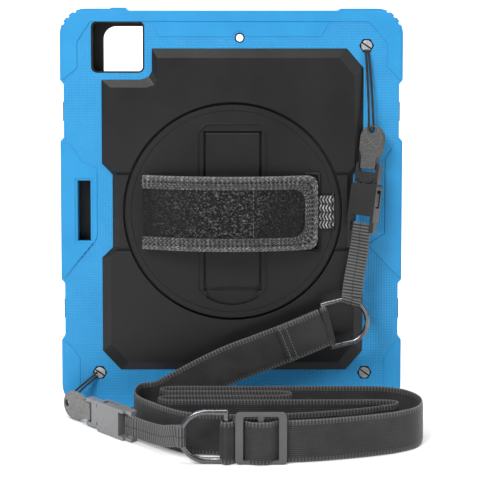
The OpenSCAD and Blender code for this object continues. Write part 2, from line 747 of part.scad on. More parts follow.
// D ring drawn with its straight side on the Z axis and its bow towards -X
module ring_shape() {
    half = 15.4;
    leg = 13;
    translate([0, 0, -half]) cylinder(r = ring_wire_r, h = 2 * half);
    for (z = [-half, half]) {
        translate([0, 0, z]) sphere(ring_wire_r, $fn = 32);
        translate([-leg, 0, z]) rotate([0, 90, 0]) cylinder(r = ring_wire_r, h = leg);
    }
    translate([-leg, 0, 0]) rotate([90, 0, 0]) rotate([0, 0, 90])
        rotate_extrude(angle = 180) translate([half, 0]) circle(ring_wire_r, $fn = 32);
}

module upper_d_ring() color([0.3, 0.3, 0.31]) {
    translate([67.6, -17, 66.6]) rotate([0, -14, 0]) mirror([1, 0, 0]) ring_shape();
}

module lower_d_ring() color([0.3, 0.3, 0.31]) {
    translate([lower_ring_x, ring_y, 17.6]) ring_shape();
}

module shoulder_strap_climb() color([0.1, 0.1, 0.1]) {
    ribbon(smooth(climb_route, 3), web_w, web_t, [0, 1, 0], [0, 1, 0]);
}

module shoulder_strap_floor() color([0.1, 0.1, 0.1]) {
    translate([0, 0, web_mid_z - web_w / 2]) linear_extrude(web_w) strip(smooth(floor_route, 3), web_t);
}

module strap_slider() color([0.24, 0.24, 0.25]) {
    difference() {
        slab(slider_y0, slider_y1) round_box(slider_x0, 0, slider_x0 + slider_w, slider_h, 3);
        slab(slider_y0 - 1, slider_y1 + 1)
            round_box(slider_x0 + 5, 2.4, slider_x0 + slider_w - 5, slider_h - 2.4, 1);
    }
    block(16.8, 20.4, slider_y0 + 0.4, slider_y1 + 0.6, 1, slider_h - 1);
}

silicone_sleeve();
back_shell();
front_frame();
corner_inserts();
corner_screws();
power_button();
volume_up_button();
volume_down_button();
turntable_disc();
turntable_washer();
turntable_retainer();
retainer_screws();
kickstand_leg();
kickstand_pin();
hand_strap_cover();
hand_strap_padding();
hand_strap_binding();
hand_strap_left_tail();
hand_strap_right_tail();
hand_strap_loop();
hand_strap_elastic();
strap_anchor_bar();
elastic_anchor_bar();
upper_corner_cord();
upper_tab();
upper_buckle_plug();
upper_buckle_arm_left();
upper_buckle_arm_right();
upper_buckle_socket();
upper_link_webbing();
upper_d_ring();
shoulder_strap_climb();
shoulder_strap_floor();
strap_slider();
lower_d_ring();
lower_link_webbing();
lower_buckle_socket();
lower_buckle_plug();
lower_buckle_arm_left();
lower_buckle_arm_right();
lower_tab();
lower_corner_cord();
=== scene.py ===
import json
import math

import bmesh
import bpy
from mathutils import Matrix, Vector
from mathutils import noise as bl_noise

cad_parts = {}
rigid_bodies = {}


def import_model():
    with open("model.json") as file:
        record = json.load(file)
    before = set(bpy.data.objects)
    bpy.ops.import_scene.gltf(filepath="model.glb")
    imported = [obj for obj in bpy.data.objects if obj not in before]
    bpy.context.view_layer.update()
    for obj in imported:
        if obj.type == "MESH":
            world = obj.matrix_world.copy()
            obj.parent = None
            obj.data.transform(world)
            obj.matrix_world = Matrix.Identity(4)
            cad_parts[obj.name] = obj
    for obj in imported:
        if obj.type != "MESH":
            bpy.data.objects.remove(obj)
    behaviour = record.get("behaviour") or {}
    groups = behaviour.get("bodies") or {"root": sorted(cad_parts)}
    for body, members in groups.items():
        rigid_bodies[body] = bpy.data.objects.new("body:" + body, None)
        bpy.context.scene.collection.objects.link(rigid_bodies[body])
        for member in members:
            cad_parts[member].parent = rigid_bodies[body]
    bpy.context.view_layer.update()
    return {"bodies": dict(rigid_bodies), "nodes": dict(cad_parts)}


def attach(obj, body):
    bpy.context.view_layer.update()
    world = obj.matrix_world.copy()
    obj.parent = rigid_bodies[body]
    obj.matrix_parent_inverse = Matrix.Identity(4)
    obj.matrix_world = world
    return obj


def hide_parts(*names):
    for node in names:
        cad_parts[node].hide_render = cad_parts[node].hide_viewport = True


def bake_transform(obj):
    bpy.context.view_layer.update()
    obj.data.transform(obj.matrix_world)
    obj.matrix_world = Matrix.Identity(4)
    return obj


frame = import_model()
NODES = frame["nodes"]
MM = 0.001


def mm(*v):
    """Millimetres of the CAD drawing as a vector in metres."""
    return Vector(v) * MM


def spread(start, end, steps):
    """steps + 1 evenly spaced values from start to end."""
    return [start + (end - start) * k / steps for k in range(steps + 1)]


def body_name(node):
    """Name of the CAD body that a node rides on."""
    return next(b for b, e in frame["bodies"].items() if e == NODES[node].parent)


# ---- camera, floor and light ----

EYE = (0.0, -0.7998, 0.2634)
TILT_DEG = 3.0
LENS = 84.34
SHIFT = (0.0179, -0.2818)
FLOOR_TONE = 0.86


def make_camera():
    data = bpy.data.cameras.new("studio_camera")
    data.lens = LENS
    data.sensor_width = 36
    data.shift_x, data.shift_y = SHIFT
    data.clip_start, data.clip_end = 0.05, 50
    cam = bpy.data.objects.new("studio_camera", data)
    cam.location = EYE
    cam.rotation_euler = (math.radians(90 - TILT_DEG), 0, 0)
    bpy.context.collection.objects.link(cam)
    bpy.context.scene.camera = cam


def make_floor():
    """A pale sweep: floor, bend and wall in one sheet."""
    rows = [(-4.0, 0.0), (1.2, 0.0), (1.6, 0.05), (1.9, 0.25), (2.05, 0.6), (2.1, 4.0)]
    verts = [(x, y, z) for y, z in rows for x in (-5.0, 5.0)]
    faces = [(2 * i, 2 * i + 1, 2 * i + 3, 2 * i + 2) for i in range(len(rows) - 1)]
    mesh = bpy.data.meshes.new("studio_floor")
    mesh.from_pydata(verts, [], faces)
    mesh.shade_smooth()
    floor = bpy.data.objects.new("studio_floor", mesh)
    bpy.context.collection.objects.link(floor)
    mat = bpy.data.materials.new("studio_floor")
    mat.use_nodes = True
    bsdf = mat.node_tree.nodes["Principled BSDF"]
    bsdf.inputs["Base Color"].default_value = (FLOOR_TONE, FLOOR_TONE, FLOOR_TONE, 1)
    bsdf.inputs["Roughness"].default_value = 0.75
    bsdf.inputs["Specular IOR Level"].default_value = 0.2
    mesh.materials.append(mat)


def soft_box(name, place, target, size, power):
    light = bpy.data.lights.new(name, "AREA")
    light.shape = "RECTANGLE"
    light.size, light.size_y = size
    light.energy = power
    lamp = bpy.data.objects.new(name, light)
    lamp.location = place
    lamp.rotation_euler = (Vector(target) - Vector(place)).to_track_quat("-Z", "Y").to_euler()
    bpy.context.collection.objects.link(lamp)


def make_light():
    world = bpy.data.worlds.new("studio_world")
    bpy.context.scene.world = world
    world.use_nodes = True
    back = world.node_tree.nodes["Background"]
    back.inputs["Color"].default_value = (1, 1, 1, 1)
    back.inputs["Strength"].default_value = 0.27
    soft_box("studio_key", (-0.75, -1.1, 1.25), (0, 0, 0.14), (0.6, 0.6), 25)
    soft_box("studio_right", (1.1, -0.7, 0.55), (0, 0, 0.14), (0.3, 0.9), 4)
    soft_box("studio_top", (0.1, -0.15, 1.5), (0, 0, 0.1), (1.2, 0.4), 13)
    soft_box("studio_wall", (0, 0.7, 1.9), (0, 2.0, 0.6), (2.6, 0.8), 55)


bpy.context.scene.view_settings.view_transform = "Standard"
make_camera()
make_floor()
make_light()

# ---- shader helpers ----


def add(tree, kind, settings=None, **inputs):
    """A shader node; an input is a value, or a socket to link from."""
    node = tree.nodes.new("ShaderNode" + kind)
    for key, value in (settings or {}).items():
        setattr(node, key, value)
    for key, value in inputs.items():
        socket = node.inputs[int(key[1:])] if key[1:].isdigit() else node.inputs[key.replace("_", " ")]
        if isinstance(value, bpy.types.NodeSocket):
            tree.links.new(value, socket)
        else:
            socket.default_value = value
    return node


def math_node(tree, op, a, b=0.0):
    return add(tree, "Math", {"operation": op}, i0=a, i1=b).outputs[0]


def plus(tree, a, b):
    return math_node(tree, "ADD", a, b)


def times(tree, a, b):
    return math_node(tree, "MULTIPLY", a, b)


def wave(tree, value, period):
    """A sine of value with a period in the value's own unit."""
    return math_node(tree, "SINE", times(tree, value, 2 * math.pi / period))


def distance(tree, value, middle):
    return math_node(tree, "ABSOLUTE", math_node(tree, "SUBTRACT", value, middle))


def level(tree, value, low, high, at=(0.0, 1.0)):
    """value from the range at mapped to low and high, clamped."""
    node = add(tree, "MapRange", Value=value)
    for key, number in (("From Min", at[0]), ("From Max", at[1]), ("To Min", low), ("To Max", high)):
        node.inputs[key].default_value = number
    return node.outputs["Result"]


def mix_colour(tree, share, a, b):
    """Colour a turned into colour b by a share; a colour is three numbers or a socket."""
    node = add(tree, "Mix", {"data_type": "RGBA"})
    for index, value in ((0, share), (6, a), (7, b)):
        if isinstance(value, bpy.types.NodeSocket):
            tree.links.new(value, node.inputs[index])
        else:
            node.inputs[index].default_value = (*value, 1)
    return node.outputs[2]


def coords(tree, scale=(1, 1, 1), turn=(0, 0, 0)):
    """Object coordinates in metres, scaled and turned."""
    source = add(tree, "TexCoord").outputs["Object"]
    return add(tree, "Mapping", Vector=source, Scale=scale, Rotation=turn).outputs["Vector"]


def uv_axes(tree):
    uv = add(tree, "SeparateXYZ", Vector=add(tree, "TexCoord").outputs["UV"])
    return uv.outputs["X"], uv.outputs["Y"]


def noise(tree, vector, scale, detail, rough=0.55, distortion=0.0):
    return add(
        tree, "TexNoise", Vector=vector, Scale=scale, Detail=detail, Roughness=rough, Distortion=distortion
    ).outputs["Fac"]


def bump(tree, height, depth, below=None):
    """Bump of a real depth in metres, on top of the one below."""
    node = add(tree, "Bump", Height=height, Distance=depth, Strength=1.0)
    if below is not None:
        tree.links.new(below, node.inputs["Normal"])
    return node.outputs["Normal"]


def material(name, colour, rough, **sockets):
    """A principled material with plain constants; returns material, tree and shader."""
    mat = bpy.data.materials.new(name)
    mat.use_nodes = True
    tree = mat.node_tree
    bsdf = tree.nodes["Principled BSDF"]
    bsdf.inputs["Base Color"].default_value = (*colour, 1)
    bsdf.inputs["Roughness"].default_value = rough
    for key, value in sockets.items():
        bsdf.inputs[key.replace("_", " ")].default_value = value
    return mat, tree, bsdf


def finish_with(tree, bsdf, colour, rough, normal):
    for key, value in (("Base Color", colour), ("Roughness", rough), ("Normal", normal)):
        tree.links.new(value, bsdf.inputs[key])


# ---- materials ----

BLACK = (0.012, 0.012, 0.0125)
BLACKENED = (0.02, 0.02, 0.021)
BLUE = (0.020, 0.262, 0.55)
BLUE_DEEP = (0.016, 0.238, 0.515)
# Painted highlight colour of the sleeve's raised dots.
BLUE_DOT_HIGHLIGHT = (0.036, 0.32, 0.65)
DOT_PITCH = 0.0019
DOT_HEIGHT = 0.00022
# Colour of the painted sheen on the webbing's thread crests.
THREAD_SHEEN_TONE = (0.075, 0.075, 0.077)
# Colour of the painted highlight along the webbing's edge ridges.
EDGE_HIGHLIGHT_TONE = (0.13, 0.13, 0.132)
# Colour of the painted glints on the leather's crease ridges.
GLINT_TONE = (0.25, 0.25, 0.254)
WARP_THREADS = 20
BAR_PITCH = 0.0022
CREASE_WARP = 0.004
CHEVRON_LEAN = 1.3
CHANNELS = (0.3, 0.6)  # sewn channels of the hand strap's binding, as shares of its width
KNIT_PITCH = 3.1


def silicone(name, dotted):
    """Sky-blue silicone; the dotted one has rows of fine raised dots on its back face, painted lighter as a
    highlight on their tops.
    """
    mat, tree, bsdf = material(name, BLUE, 0.5, Specular_IOR_Level=0.35)
    place = coords(tree)
    patches = noise(tree, place, 38.0, 4.0)
    colour = mix_colour(tree, level(tree, patches, 0, 1, (0.35, 0.65)), BLUE, BLUE_DEEP)
    rough = level(tree, noise(tree, place, 160.0, 5.0), 0.42, 0.62, (0.3, 0.7))
    normal = bump(tree, noise(tree, place, 2600.0, 2.0), 0.00003)
    if dotted:
        xyz = add(tree, "SeparateXYZ", Vector=place)
        rows = plus(tree, wave(tree, xyz.outputs["X"], DOT_PITCH), wave(tree, xyz.outputs["Z"], DOT_PITCH))
        facing = add(tree, "SeparateXYZ", Vector=add(tree, "NewGeometry").outputs["Normal"]).outputs["Y"]
        back = level(tree, times(tree, facing, -1.0), 0, 1, (0.93, 0.99))
        dots = times(tree, level(tree, rows, 0, 1, (0.1, 1.6)), back)
        normal = bump(tree, dots, DOT_HEIGHT, normal)
        # The raised dots painted lighter than the field: painted highlight on their tops.
        colour = mix_colour(tree, times(tree, dots, 0.35), colour, BLUE_DOT_HIGHLIGHT)
    finish_with(tree, bsdf, colour, rough, normal)
    return mat


def moulded(name, tone, rough, grain=0.00005, scale=900.0, gloss=0.22):
    """Moulded plastic with a fine spark-eroded grain and faint rubbed patches."""
    mat, tree, bsdf = material(name, tone, rough, Specular_IOR_Level=gloss)
    place = coords(tree)
    rub = noise(tree, place, 22.0, 5.0, 0.6)
    lighter = tuple(c * 1.22 + 0.001 for c in tone)
    colour = mix_colour(tree, level(tree, rub, 0, 1, (0.4, 0.75)), tone, lighter)
    value = level(tree, rub, rough - 0.06, rough + 0.08, (0.35, 0.7))
    finish_with(tree, bsdf, colour, value, bump(tree, noise(tree, place, scale, 2.0, 0.7), grain))
    return mat


def metal(name, tone, rough, brushed=(1, 1, 1)):
    """Metal with a fine brushed or blasted surface and a little wear."""
    mat, tree, bsdf = material(name, tone, rough, Metallic=1.0)
    place = coords(tree, brushed)
    lines = noise(tree, place, 700.0, 3.0, 0.6)
    wear_and_glint = noise(tree, place, 87.5, 5.0, 0.6)
    lighter = tuple(min(1.0, c * 1.4 + 0.02) for c in tone)
    colour = mix_colour(tree, level(tree, wear_and_glint, 0, 1, (0.5, 0.75)), tone, lighter)
    value = level(tree, lines, rough - 0.08, rough + 0.12, (0.3, 0.7))
    finish_with(tree, bsdf, colour, value, bump(tree, lines, 0.00002))
    return mat


def webbing(name, tone, shine, rib=0.0009, edge=0.1, rib_highlight_tone=0.10):
    """Woven webbing. U runs across the band from 0 to 1 and V along it in metres."""
    mat, tree, bsdf = material(
        name, tone, 0.5, Sheen_Weight=0.06, Sheen_Roughness=0.4, Specular_IOR_Level=0.3
    )
    u, v = uv_axes(tree)
    threads = wave(tree, u, 1 / WARP_THREADS)
    weave = times(tree, wave(tree, v, rib), threads)
    off_middle = distance(tree, u, 0.5)
    border = level(tree, off_middle, 0, 1, (0.48 - edge, 0.5 - edge))
    bars = level(tree, wave(tree, v, BAR_PITCH), 0, 1, (-0.6, 0.6))
    border_bars = times(tree, bars, border)
    patches = noise(tree, coords(tree), 55.0, 4.0)
    lighter = tuple(c * 1.9 + 0.004 for c in tone)
    colour = mix_colour(tree, level(tree, patches, 0, 0.55, (0.35, 0.7)), tone, lighter)
    # The thread crests painted lighter in patches: painted sheen.
    lit = level(tree, threads, 0.04, 0.42, (-0.4, 0.8))
    thread_sheen = times(tree, lit, level(tree, patches, 0.5, 1.0, (0.4, 0.65)))
    colour = mix_colour(tree, thread_sheen, colour, THREAD_SHEEN_TONE)
    # The border's ribs are real; their lighter colour is painted highlight on the rib crests.
    colour = mix_colour(tree, times(tree, border_bars, 0.6), colour, (rib_highlight_tone, rib_highlight_tone, rib_highlight_tone * 1.02))
    # The outermost edge ridges painted lighter still: painted highlight.
    rim = times(tree, level(tree, off_middle, 0, 1, (0.455, 0.475)), level(tree, bars, 0.45, 1.0))
    colour = mix_colour(tree, times(tree, rim, 0.8), colour, EDGE_HIGHLIGHT_TONE)
    normal = bump(tree, weave, 0.00012)
    normal = bump(tree, border_bars, 0.00025, normal)
    normal = bump(tree, noise(tree, coords(tree), 1500.0, 3.0), 0.00005, normal)
    finish_with(tree, bsdf, colour, level(tree, weave, shine, shine + 0.22, (-1, 1)), normal)
    return mat


def leather(name, tone, rough, crinkle, wear_and_glint, cells, calm=()):
    """Pebbled, crinkled leather with fine slanted dashes painted paler by a share of wear_and_glint, as
    painted glints on the crease ridges.

    calm has two spans of V in metres: the creases and their painted glints grow over the first and fade over
    the second.
    """
    mat, tree, bsdf = material(name, tone, rough, Specular_IOR_Level=0.2)
    place = coords(tree, (1.0, 1.0, 1.3))
    drift = add(tree, "TexNoise", Vector=place, Scale=240.0, Detail=3.0).outputs["Color"]
    warped = add(
        tree, "VectorMath", {"operation": "MULTIPLY_ADD"}, i0=drift, i1=(CREASE_WARP,) * 3, i2=place
    ).outputs[0]
    pebble = add(tree, "TexVoronoi", {"feature": "DISTANCE_TO_EDGE"}, Vector=warped, Scale=cells)
    pebbles = level(tree, pebble.outputs["Distance"], 0, 1, (0.0, 0.2))
    creases = noise(tree, warped, 520.0, 4.0, 0.7, 0.6)
    where = level(tree, noise(tree, coords(tree), 34.0, 2.0), 0.06, 1.0, (0.3, 0.58))
    if calm:
        along = uv_axes(tree)[1]
        where = times(tree, where, level(tree, along, 0, 1, calm[0]))
        where = times(tree, where, level(tree, along, 1, 0.3, calm[1]))
    slanted = noise(tree, coords(tree, (1.0, 1.0, 1.8), (0, 0.6, 0)), 430.0, 2.0, 0.6, 0.8)
    ridge = times(tree, level(tree, distance(tree, slanted, 0.5), 1, 0, (0.015, 0.06)), where)
    ridge = times(tree, ridge, level(tree, noise(tree, place, 560.0, 2.0), 0.0, 1, (0.48, 0.6)))
    normal = bump(tree, times(tree, creases, where), crinkle)
    normal = bump(tree, ridge, crinkle * 0.5, normal)
    normal = bump(tree, pebbles, crinkle * 0.2, normal)
    # Darker towards the pebbles' edges: painted shade in the grooves between the pebbles.
    colour = mix_colour(tree, pebbles, tuple(c * 0.4 for c in tone), tone)
    # The slanted crease ridges painted paler: painted glints.
    colour = mix_colour(tree, times(tree, ridge, wear_and_glint), colour, GLINT_TONE)
    value = level(tree, creases, rough - 0.08, rough + 0.2, (0.35, 0.65))
    finish_with(tree, bsdf, colour, value, normal)
    return mat


def knitted(name, dark, light, pitch, columns, channels=()):
    """Chevron-knitted tape, pressed flat along its sewn channels. U and V are as in webbing."""
    mat, tree, bsdf = material(
        name, dark, 0.62, Sheen_Weight=0.1, Sheen_Roughness=0.5, Specular_IOR_Level=0.25
    )
    u, v = uv_axes(tree)
    fold = math_node(tree, "PINGPONG", times(tree, u, columns), 0.5)
    slant = plus(tree, math_node(tree, "DIVIDE", v, pitch), times(tree, fold, CHEVRON_LEAN))
    if channels:
        slant = plus(tree, slant, times(tree, noise(tree, coords(tree), 330.0, 2.0), 1.6))
    loops = level(tree, wave(tree, slant, 1.0), 0, 1, (-0.3, 0.9))
    pressed_and_shaded = 1.0
    # Flattened along the sewn channels, where the binding's colour is also painted darker: painted shade in
    # the channels.
    for channel in channels:
        near = distance(tree, u, channel)
        pressed_and_shaded = times(tree, pressed_and_shaded, level(tree, near, 0, 1, (0.015, 0.07)))
    # On the binding the light colour is painted highlight on the knit loops and the dark colour painted shade
    # between them; on the elastic the two are the yarn's own tones.
    yarn = times(tree, times(tree, loops, level(tree, fold, 0, 1, (0.0, 0.16))), pressed_and_shaded)
    spots = noise(tree, coords(tree), 260.0, 3.0)
    share = times(tree, yarn, level(tree, spots, 0.2, 1.0, (0.38, 0.62)))
    if channels:
        felt = plus(tree, times(tree, share, 0.55), 0.12)
        # The outer roll painted up to 2.3 times lighter: painted highlight on the rolled edge.
        outer = level(tree, u, 1.0, 2.3, (channels[-1] + 0.05, 0.95))
        share = times(tree, times(tree, felt, outer), pressed_and_shaded)
    normal = bump(tree, yarn, 0.0004)
    normal = bump(tree, noise(tree, coords(tree), 1800.0, 2.0), 0.00006, normal)
    finish_with(tree, bsdf, mix_colour(tree, share, dark, light), level(tree, yarn, 0.75, 0.5), normal)
    return mat


SILICONE = silicone("silicone_smooth", False)
SILICONE_DOTTED = silicone("silicone_dotted", True)
SHELL = moulded("shell_grain", BLACK, 0.38, gloss=0.24)
DISC = moulded("disc_grain", BLACK, 0.40)
FRAME = moulded("frame_grain", BLACK, 0.5)
BUCKLE = moulded("buckle_plastic", (0.018, 0.018, 0.0185), 0.26, 0.00002, 1400.0, 0.6)
# A paler copy of the buckle plastic for the lower buckle: painted light and reflection, as it faces up to the
# bright surroundings.
BUCKLE_PAINTED_LIGHT = moulded("buckle_plastic_painted_light", (0.16, 0.16, 0.163), 0.26, 0.00002, 1400.0, 0.6)
SLIDER = moulded("slider_plastic", (0.085, 0.085, 0.087), 0.42, 0.00003, 1400.0)
WASHER = moulded("washer_plastic", (0.7, 0.7, 0.68), 0.4, 0.00002, 1200.0)
RING = metal("ring_metal", (0.13, 0.13, 0.135), 0.26)
LOOP = metal("loop_metal", BLACKENED, 0.5)
# Blackened steel for the kickstand pin, also used as painted shade in the corner screws' slots.
DARK_STEEL_AND_SLOT_SHADE = metal("steel_blackened_and_slot_shade", BLACKENED, 0.5)
STEEL = metal("steel_turned", (0.62, 0.62, 0.63), 0.42, (1, 1, 2))
BRASS = metal("brass_turned", (0.66, 0.47, 0.2), 0.3, (1, 6, 1))
WEBBING = webbing("webbing_black", (0.010, 0.010, 0.0103), 0.32)
# The link's border ribs get a brighter painted highlight.
LINK = webbing("link_webbing", (0.012, 0.012, 0.0123), 0.42, 0.0016, 0.47, 0.19)
CORD = webbing("cord_braid", (0.009, 0.009, 0.009), 0.5, 0.0012, 0.0)
CALM = ((-0.058, -0.034), (0.012, 0.03))
# The fifth number is the share of painted glints on the crease ridges.
LEATHER = leather("strap_leather", (0.003, 0.003, 0.003), 0.3, 0.0008, 0.9, 430.0, CALM)
TAB = leather("tab_leather", (0.10, 0.098, 0.097), 0.42, 0.0003, 0.4, 900.0)
# A paler copy of the tab leather for the lower tab: painted light, as it faces up to the bright surroundings.
TAB_PAINTED_LIGHT = leather("tab_leather_painted_light", (0.24, 0.235, 0.23), 0.42, 0.0003, 0.4, 900.0)
FOAM = moulded("strap_lining", (0.014, 0.014, 0.015), 0.85, 0.0002, 1500.0)
# Black tape whose knit loops are painted light: painted highlight on the loops, painted shade between them
# and in the channels.
BINDING = knitted(
    "binding_knit", (0.003, 0.003, 0.0032), (0.24, 0.24, 0.245), KNIT_PITCH * MM, 3.333, (0.0, *CHANNELS)
)
ELASTIC = knitted("elastic_weave", BLACK, (0.5, 0.5, 0.51), 0.0022, 4.0)
THREAD = moulded("stitch_thread", (0.16, 0.16, 0.162), 0.5, 0.00004, 3000.0)

# ---- mesh building ----


def new_object(name, verts, faces, mats, uvs=None):
    mesh = bpy.data.meshes.new(name)
    mesh.from_pydata([tuple(v) for v in verts], [], faces)
    for m in mats:
        mesh.materials.append(m)
    if uvs is not None:
        layer = mesh.uv_layers.new(name="UVMap")
        for loop in mesh.loops:
            layer.data[loop.index].uv = uvs[loop.vertex_index]
    mesh.shade_smooth()
    obj = bpy.data.objects.new(name, mesh)
    bpy.context.collection.objects.link(obj)
    return obj


def ring_faces(rings, sides, base=0):
    """Faces of a round bar made of rings of vertices, with its two ends closed."""
    faces = []
    for i in range(rings - 1):
        for k in range(sides):
            a, b = base + i * sides + k, base + i * sides + (k + 1) % sides
            faces.append((a, b, b + sides, a + sides))
    faces.append(tuple(base + k for k in reversed(range(sides))))
    faces.append(tuple(base + (rings - 1) * sides + k for k in range(sides)))
    return faces


def smooth_route(points, steps):
    """The same curve through points as the CAD drawing uses."""
    pts = [Vector(p) for p in points]
    out = []
    for i in range(len(pts) - 1):
        a, b, c, d = pts[max(i - 1, 0)], pts[i], pts[i + 1], pts[min(i + 2, len(pts) - 1)]
        for s in range(steps):
            t = s / steps
            out.append(
                0.5 * ((2 * b) + (c - a) * t + (2 * a - 5 * b + 4 * c - d) * t * t
                       + (3 * b - a - 3 * c + d) * t ** 3)
            )
    out.append(pts[-1])
    return out


def heading(path, i):
    return (path[min(i + 1, len(path) - 1)] - path[max(i - 1, 0)]).normalized()


EDGE_AT = 0.44
EDGE_THIN = 0.65


def ribbon(name, path, facings, width, thick, mats, columns):
    """A flat band swept along path, thinner at its two edges.

    facings are its outward directions, and thick is one depth or a list with one for each point.
    """
    shares = [-0.5 + k / (columns - 1) for k in range(columns)]
    section = [(s, 0.5) for s in shares] + [(-s, -0.5) for s in shares]
    n = len(section)
    verts, uvs, faces = [], [], []
    run = 0.0
    for i, p in enumerate(path):
        if i:
            run += (p - path[i - 1]).length
        along = heading(path, i)
        across = along.cross(facings[i]).normalized()
        out = across.cross(along).normalized()
        depth = thick[i] if isinstance(thick, list) else thick
        for s, side in section:
            rim = max(0.0, (abs(s) - EDGE_AT) / (0.5 - EDGE_AT))
            verts.append(p + across * (s * width) + out * (side * depth * (1 - EDGE_THIN * rim * rim)))
            uvs.append((s + 0.5, run))
    for i in range(len(path) - 1):
        for k in range(n):
            a, b = i * n + k, i * n + (k + 1) % n
            faces.append((a, a + n, b + n, b))
    faces.append(tuple(range(n)))
    faces.append(tuple(reversed(range((len(path) - 1) * n, len(path) * n))))
    obj = new_object(name, verts, faces, mats, uvs)
    obj.data.set_sharp_from_angle(angle=math.radians(60))
    return obj


CORD_SIDES = 12
CORD_TWIST = 2600
OFF_AXIS = Vector((0.13, 0.96, 0.21))


def tube(name, path, diameter, mats):
    """A cord swept along path, a little oval and twisted so that it looks laid."""
    verts, uvs, run = [], [], 0.0
    for i, p in enumerate(path):
        if i:
            run += (p - path[i - 1]).length
        along = heading(path, i)
        x = along.cross(OFF_AXIS).normalized()
        y = x.cross(along)
        for k in range(CORD_SIDES):
            a = 2 * math.pi * k / CORD_SIDES
            swell = 1 + 0.09 * math.sin(2 * a + CORD_TWIST * run)
            verts.append(p + (x * math.cos(a) + y * math.sin(a)) * (diameter / 2 * swell))
            uvs.append((k / CORD_SIDES, run))
    return new_object(name, verts, ring_faces(len(path), CORD_SIDES), mats, uvs)


ROUND_ABOVE = 32  # degrees: a sharper corner than this gets a rounded edge
CRISP_ABOVE = 18  # degrees: the same for nodes with shallow chamfers


def refine(node, mat, bevel, segments, limit=ROUND_ABOVE):
    """A finer copy of a CAD node with rounded edges, which stands for it."""
    mesh = NODES[node].data.copy()
    mesh.name = node + "_finish"
    bm = bmesh.new()
    bm.from_mesh(mesh)
    bmesh.ops.remove_doubles(bm, verts=bm.verts, dist=2e-6)
    bmesh.ops.dissolve_limit(
        bm, angle_limit=math.radians(0.6), use_dissolve_boundaries=False, verts=bm.verts, edges=bm.edges
    )
    bm.to_mesh(mesh)
    bm.free()
    mesh.materials.clear()
    mesh.materials.append(mat)
    for face in mesh.polygons:
        face.material_index = 0
    mesh.shade_smooth()
    mesh.set_sharp_from_angle(angle=math.radians(limit))
    obj = bpy.data.objects.new(mesh.name, mesh)
    bpy.context.collection.objects.link(obj)
    if bevel:
        mod = obj.modifiers.new("rounding", "BEVEL")
        mod.width = bevel
        mod.segments = segments
        mod.limit_method = "ANGLE"
        mod.angle_limit = math.radians(limit)
        mod.harden_normals = True
        mod.use_clamp_overlap = True
        if limit < ROUND_ABOVE:
            flat = obj.modifiers.new("flat_faces", "WEIGHTED_NORMAL")
            flat.keep_sharp = True
            flat.weight = 100
    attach(obj, body_name(node))
    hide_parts(node)
    return obj


# node: finish, rounding in metres, segments of the rounding
HARD_PARTS = {
    "silicone_sleeve": (SILICONE_DOTTED, 0.0005, 3),
    "back_shell": (SHELL, 0.0005, 3),
    "front_frame": (FRAME, 0.0003, 2),
    "corner_inserts": (BRASS, 0.00015, 2),
    "corner_screws": (STEEL, 0.0002, 2),
    "power_button": (SILICONE, 0.0003, 2),
    "volume_up_button": (SILICONE, 0.0003, 2),
    "volume_down_button": (SILICONE, 0.0003, 2),
    "turntable_disc": (DISC, 0.00045, 3),
    "turntable_washer": (WASHER, 0.0001, 2),
    "turntable_retainer": (STEEL, 0.0001, 2),
    "retainer_screws": (STEEL, 0.00015, 2),
    "kickstand_leg": (DISC, 0.0009, 3),
    "kickstand_pin": (DARK_STEEL_AND_SLOT_SHADE, 0.0001, 2),
    "hand_strap_loop": (LOOP, 0.0, 2),
    "strap_anchor_bar": (STEEL, 0.0001, 2),
    "elastic_anchor_bar": (STEEL, 0.0001, 2),
    "upper_buckle_plug": (BUCKLE, 0.0004, 3),
    "upper_buckle_arm_left": (BUCKLE, 0.0004, 3),
    "upper_buckle_arm_right": (BUCKLE, 0.0004, 3),
    "upper_buckle_socket": (BUCKLE, 0.0005, 3),
    "upper_d_ring": (RING, 0.0, 2),
    "strap_slider": (SLIDER, 0.0007, 3),
    "lower_d_ring": (RING, 0.0, 2),
    "lower_buckle_socket": (BUCKLE_PAINTED_LIGHT, 0.0005, 3),
    "lower_buckle_plug": (BUCKLE_PAINTED_LIGHT, 0.0004, 3),
    "lower_buckle_arm_left": (BUCKLE_PAINTED_LIGHT, 0.0004, 3),
    "lower_buckle_arm_right": (BUCKLE_PAINTED_LIGHT, 0.0004, 3),
}
CRISP = ("back_shell", "silicone_sleeve", "turntable_disc", "kickstand_leg")
FINE = {
    node: refine(node, mat, bevel, segments, CRISP_ABOVE if node in CRISP else ROUND_ABOVE)
    for node, (mat, bevel, segments) in HARD_PARTS.items()
}

SCREW_SLOT_Y = (3.32, 3.85)


def paint_slot_shade(screws):
    """The floor and walls of the screws' slots in the dark steel: painted shade in the slots."""
    screws.data.materials.append(DARK_STEEL_AND_SLOT_SHADE)
    for face in screws.data.polygons:
        if SCREW_SLOT_Y[0] < face.center.y / MM < SCREW_SLOT_Y[1]:
            face.material_index = 1


paint_slot_shade(FINE["corner_screws"])


# ---- places in the CAD drawing ----


def turn(axis, degrees):
    return Matrix.Rotation(math.radians(degrees), 4, axis)


PLACE_UPPER = (
    Matrix.Translation(mm(101.3, -3.6, 206.8)) @ turn("Y", 97.3) @ turn("Z", -6.1) @ turn("X", 38)
)
PLACE_LOWER = Matrix.Translation(mm(-118.2, -11, 10.5)) @ turn("Z", -45)

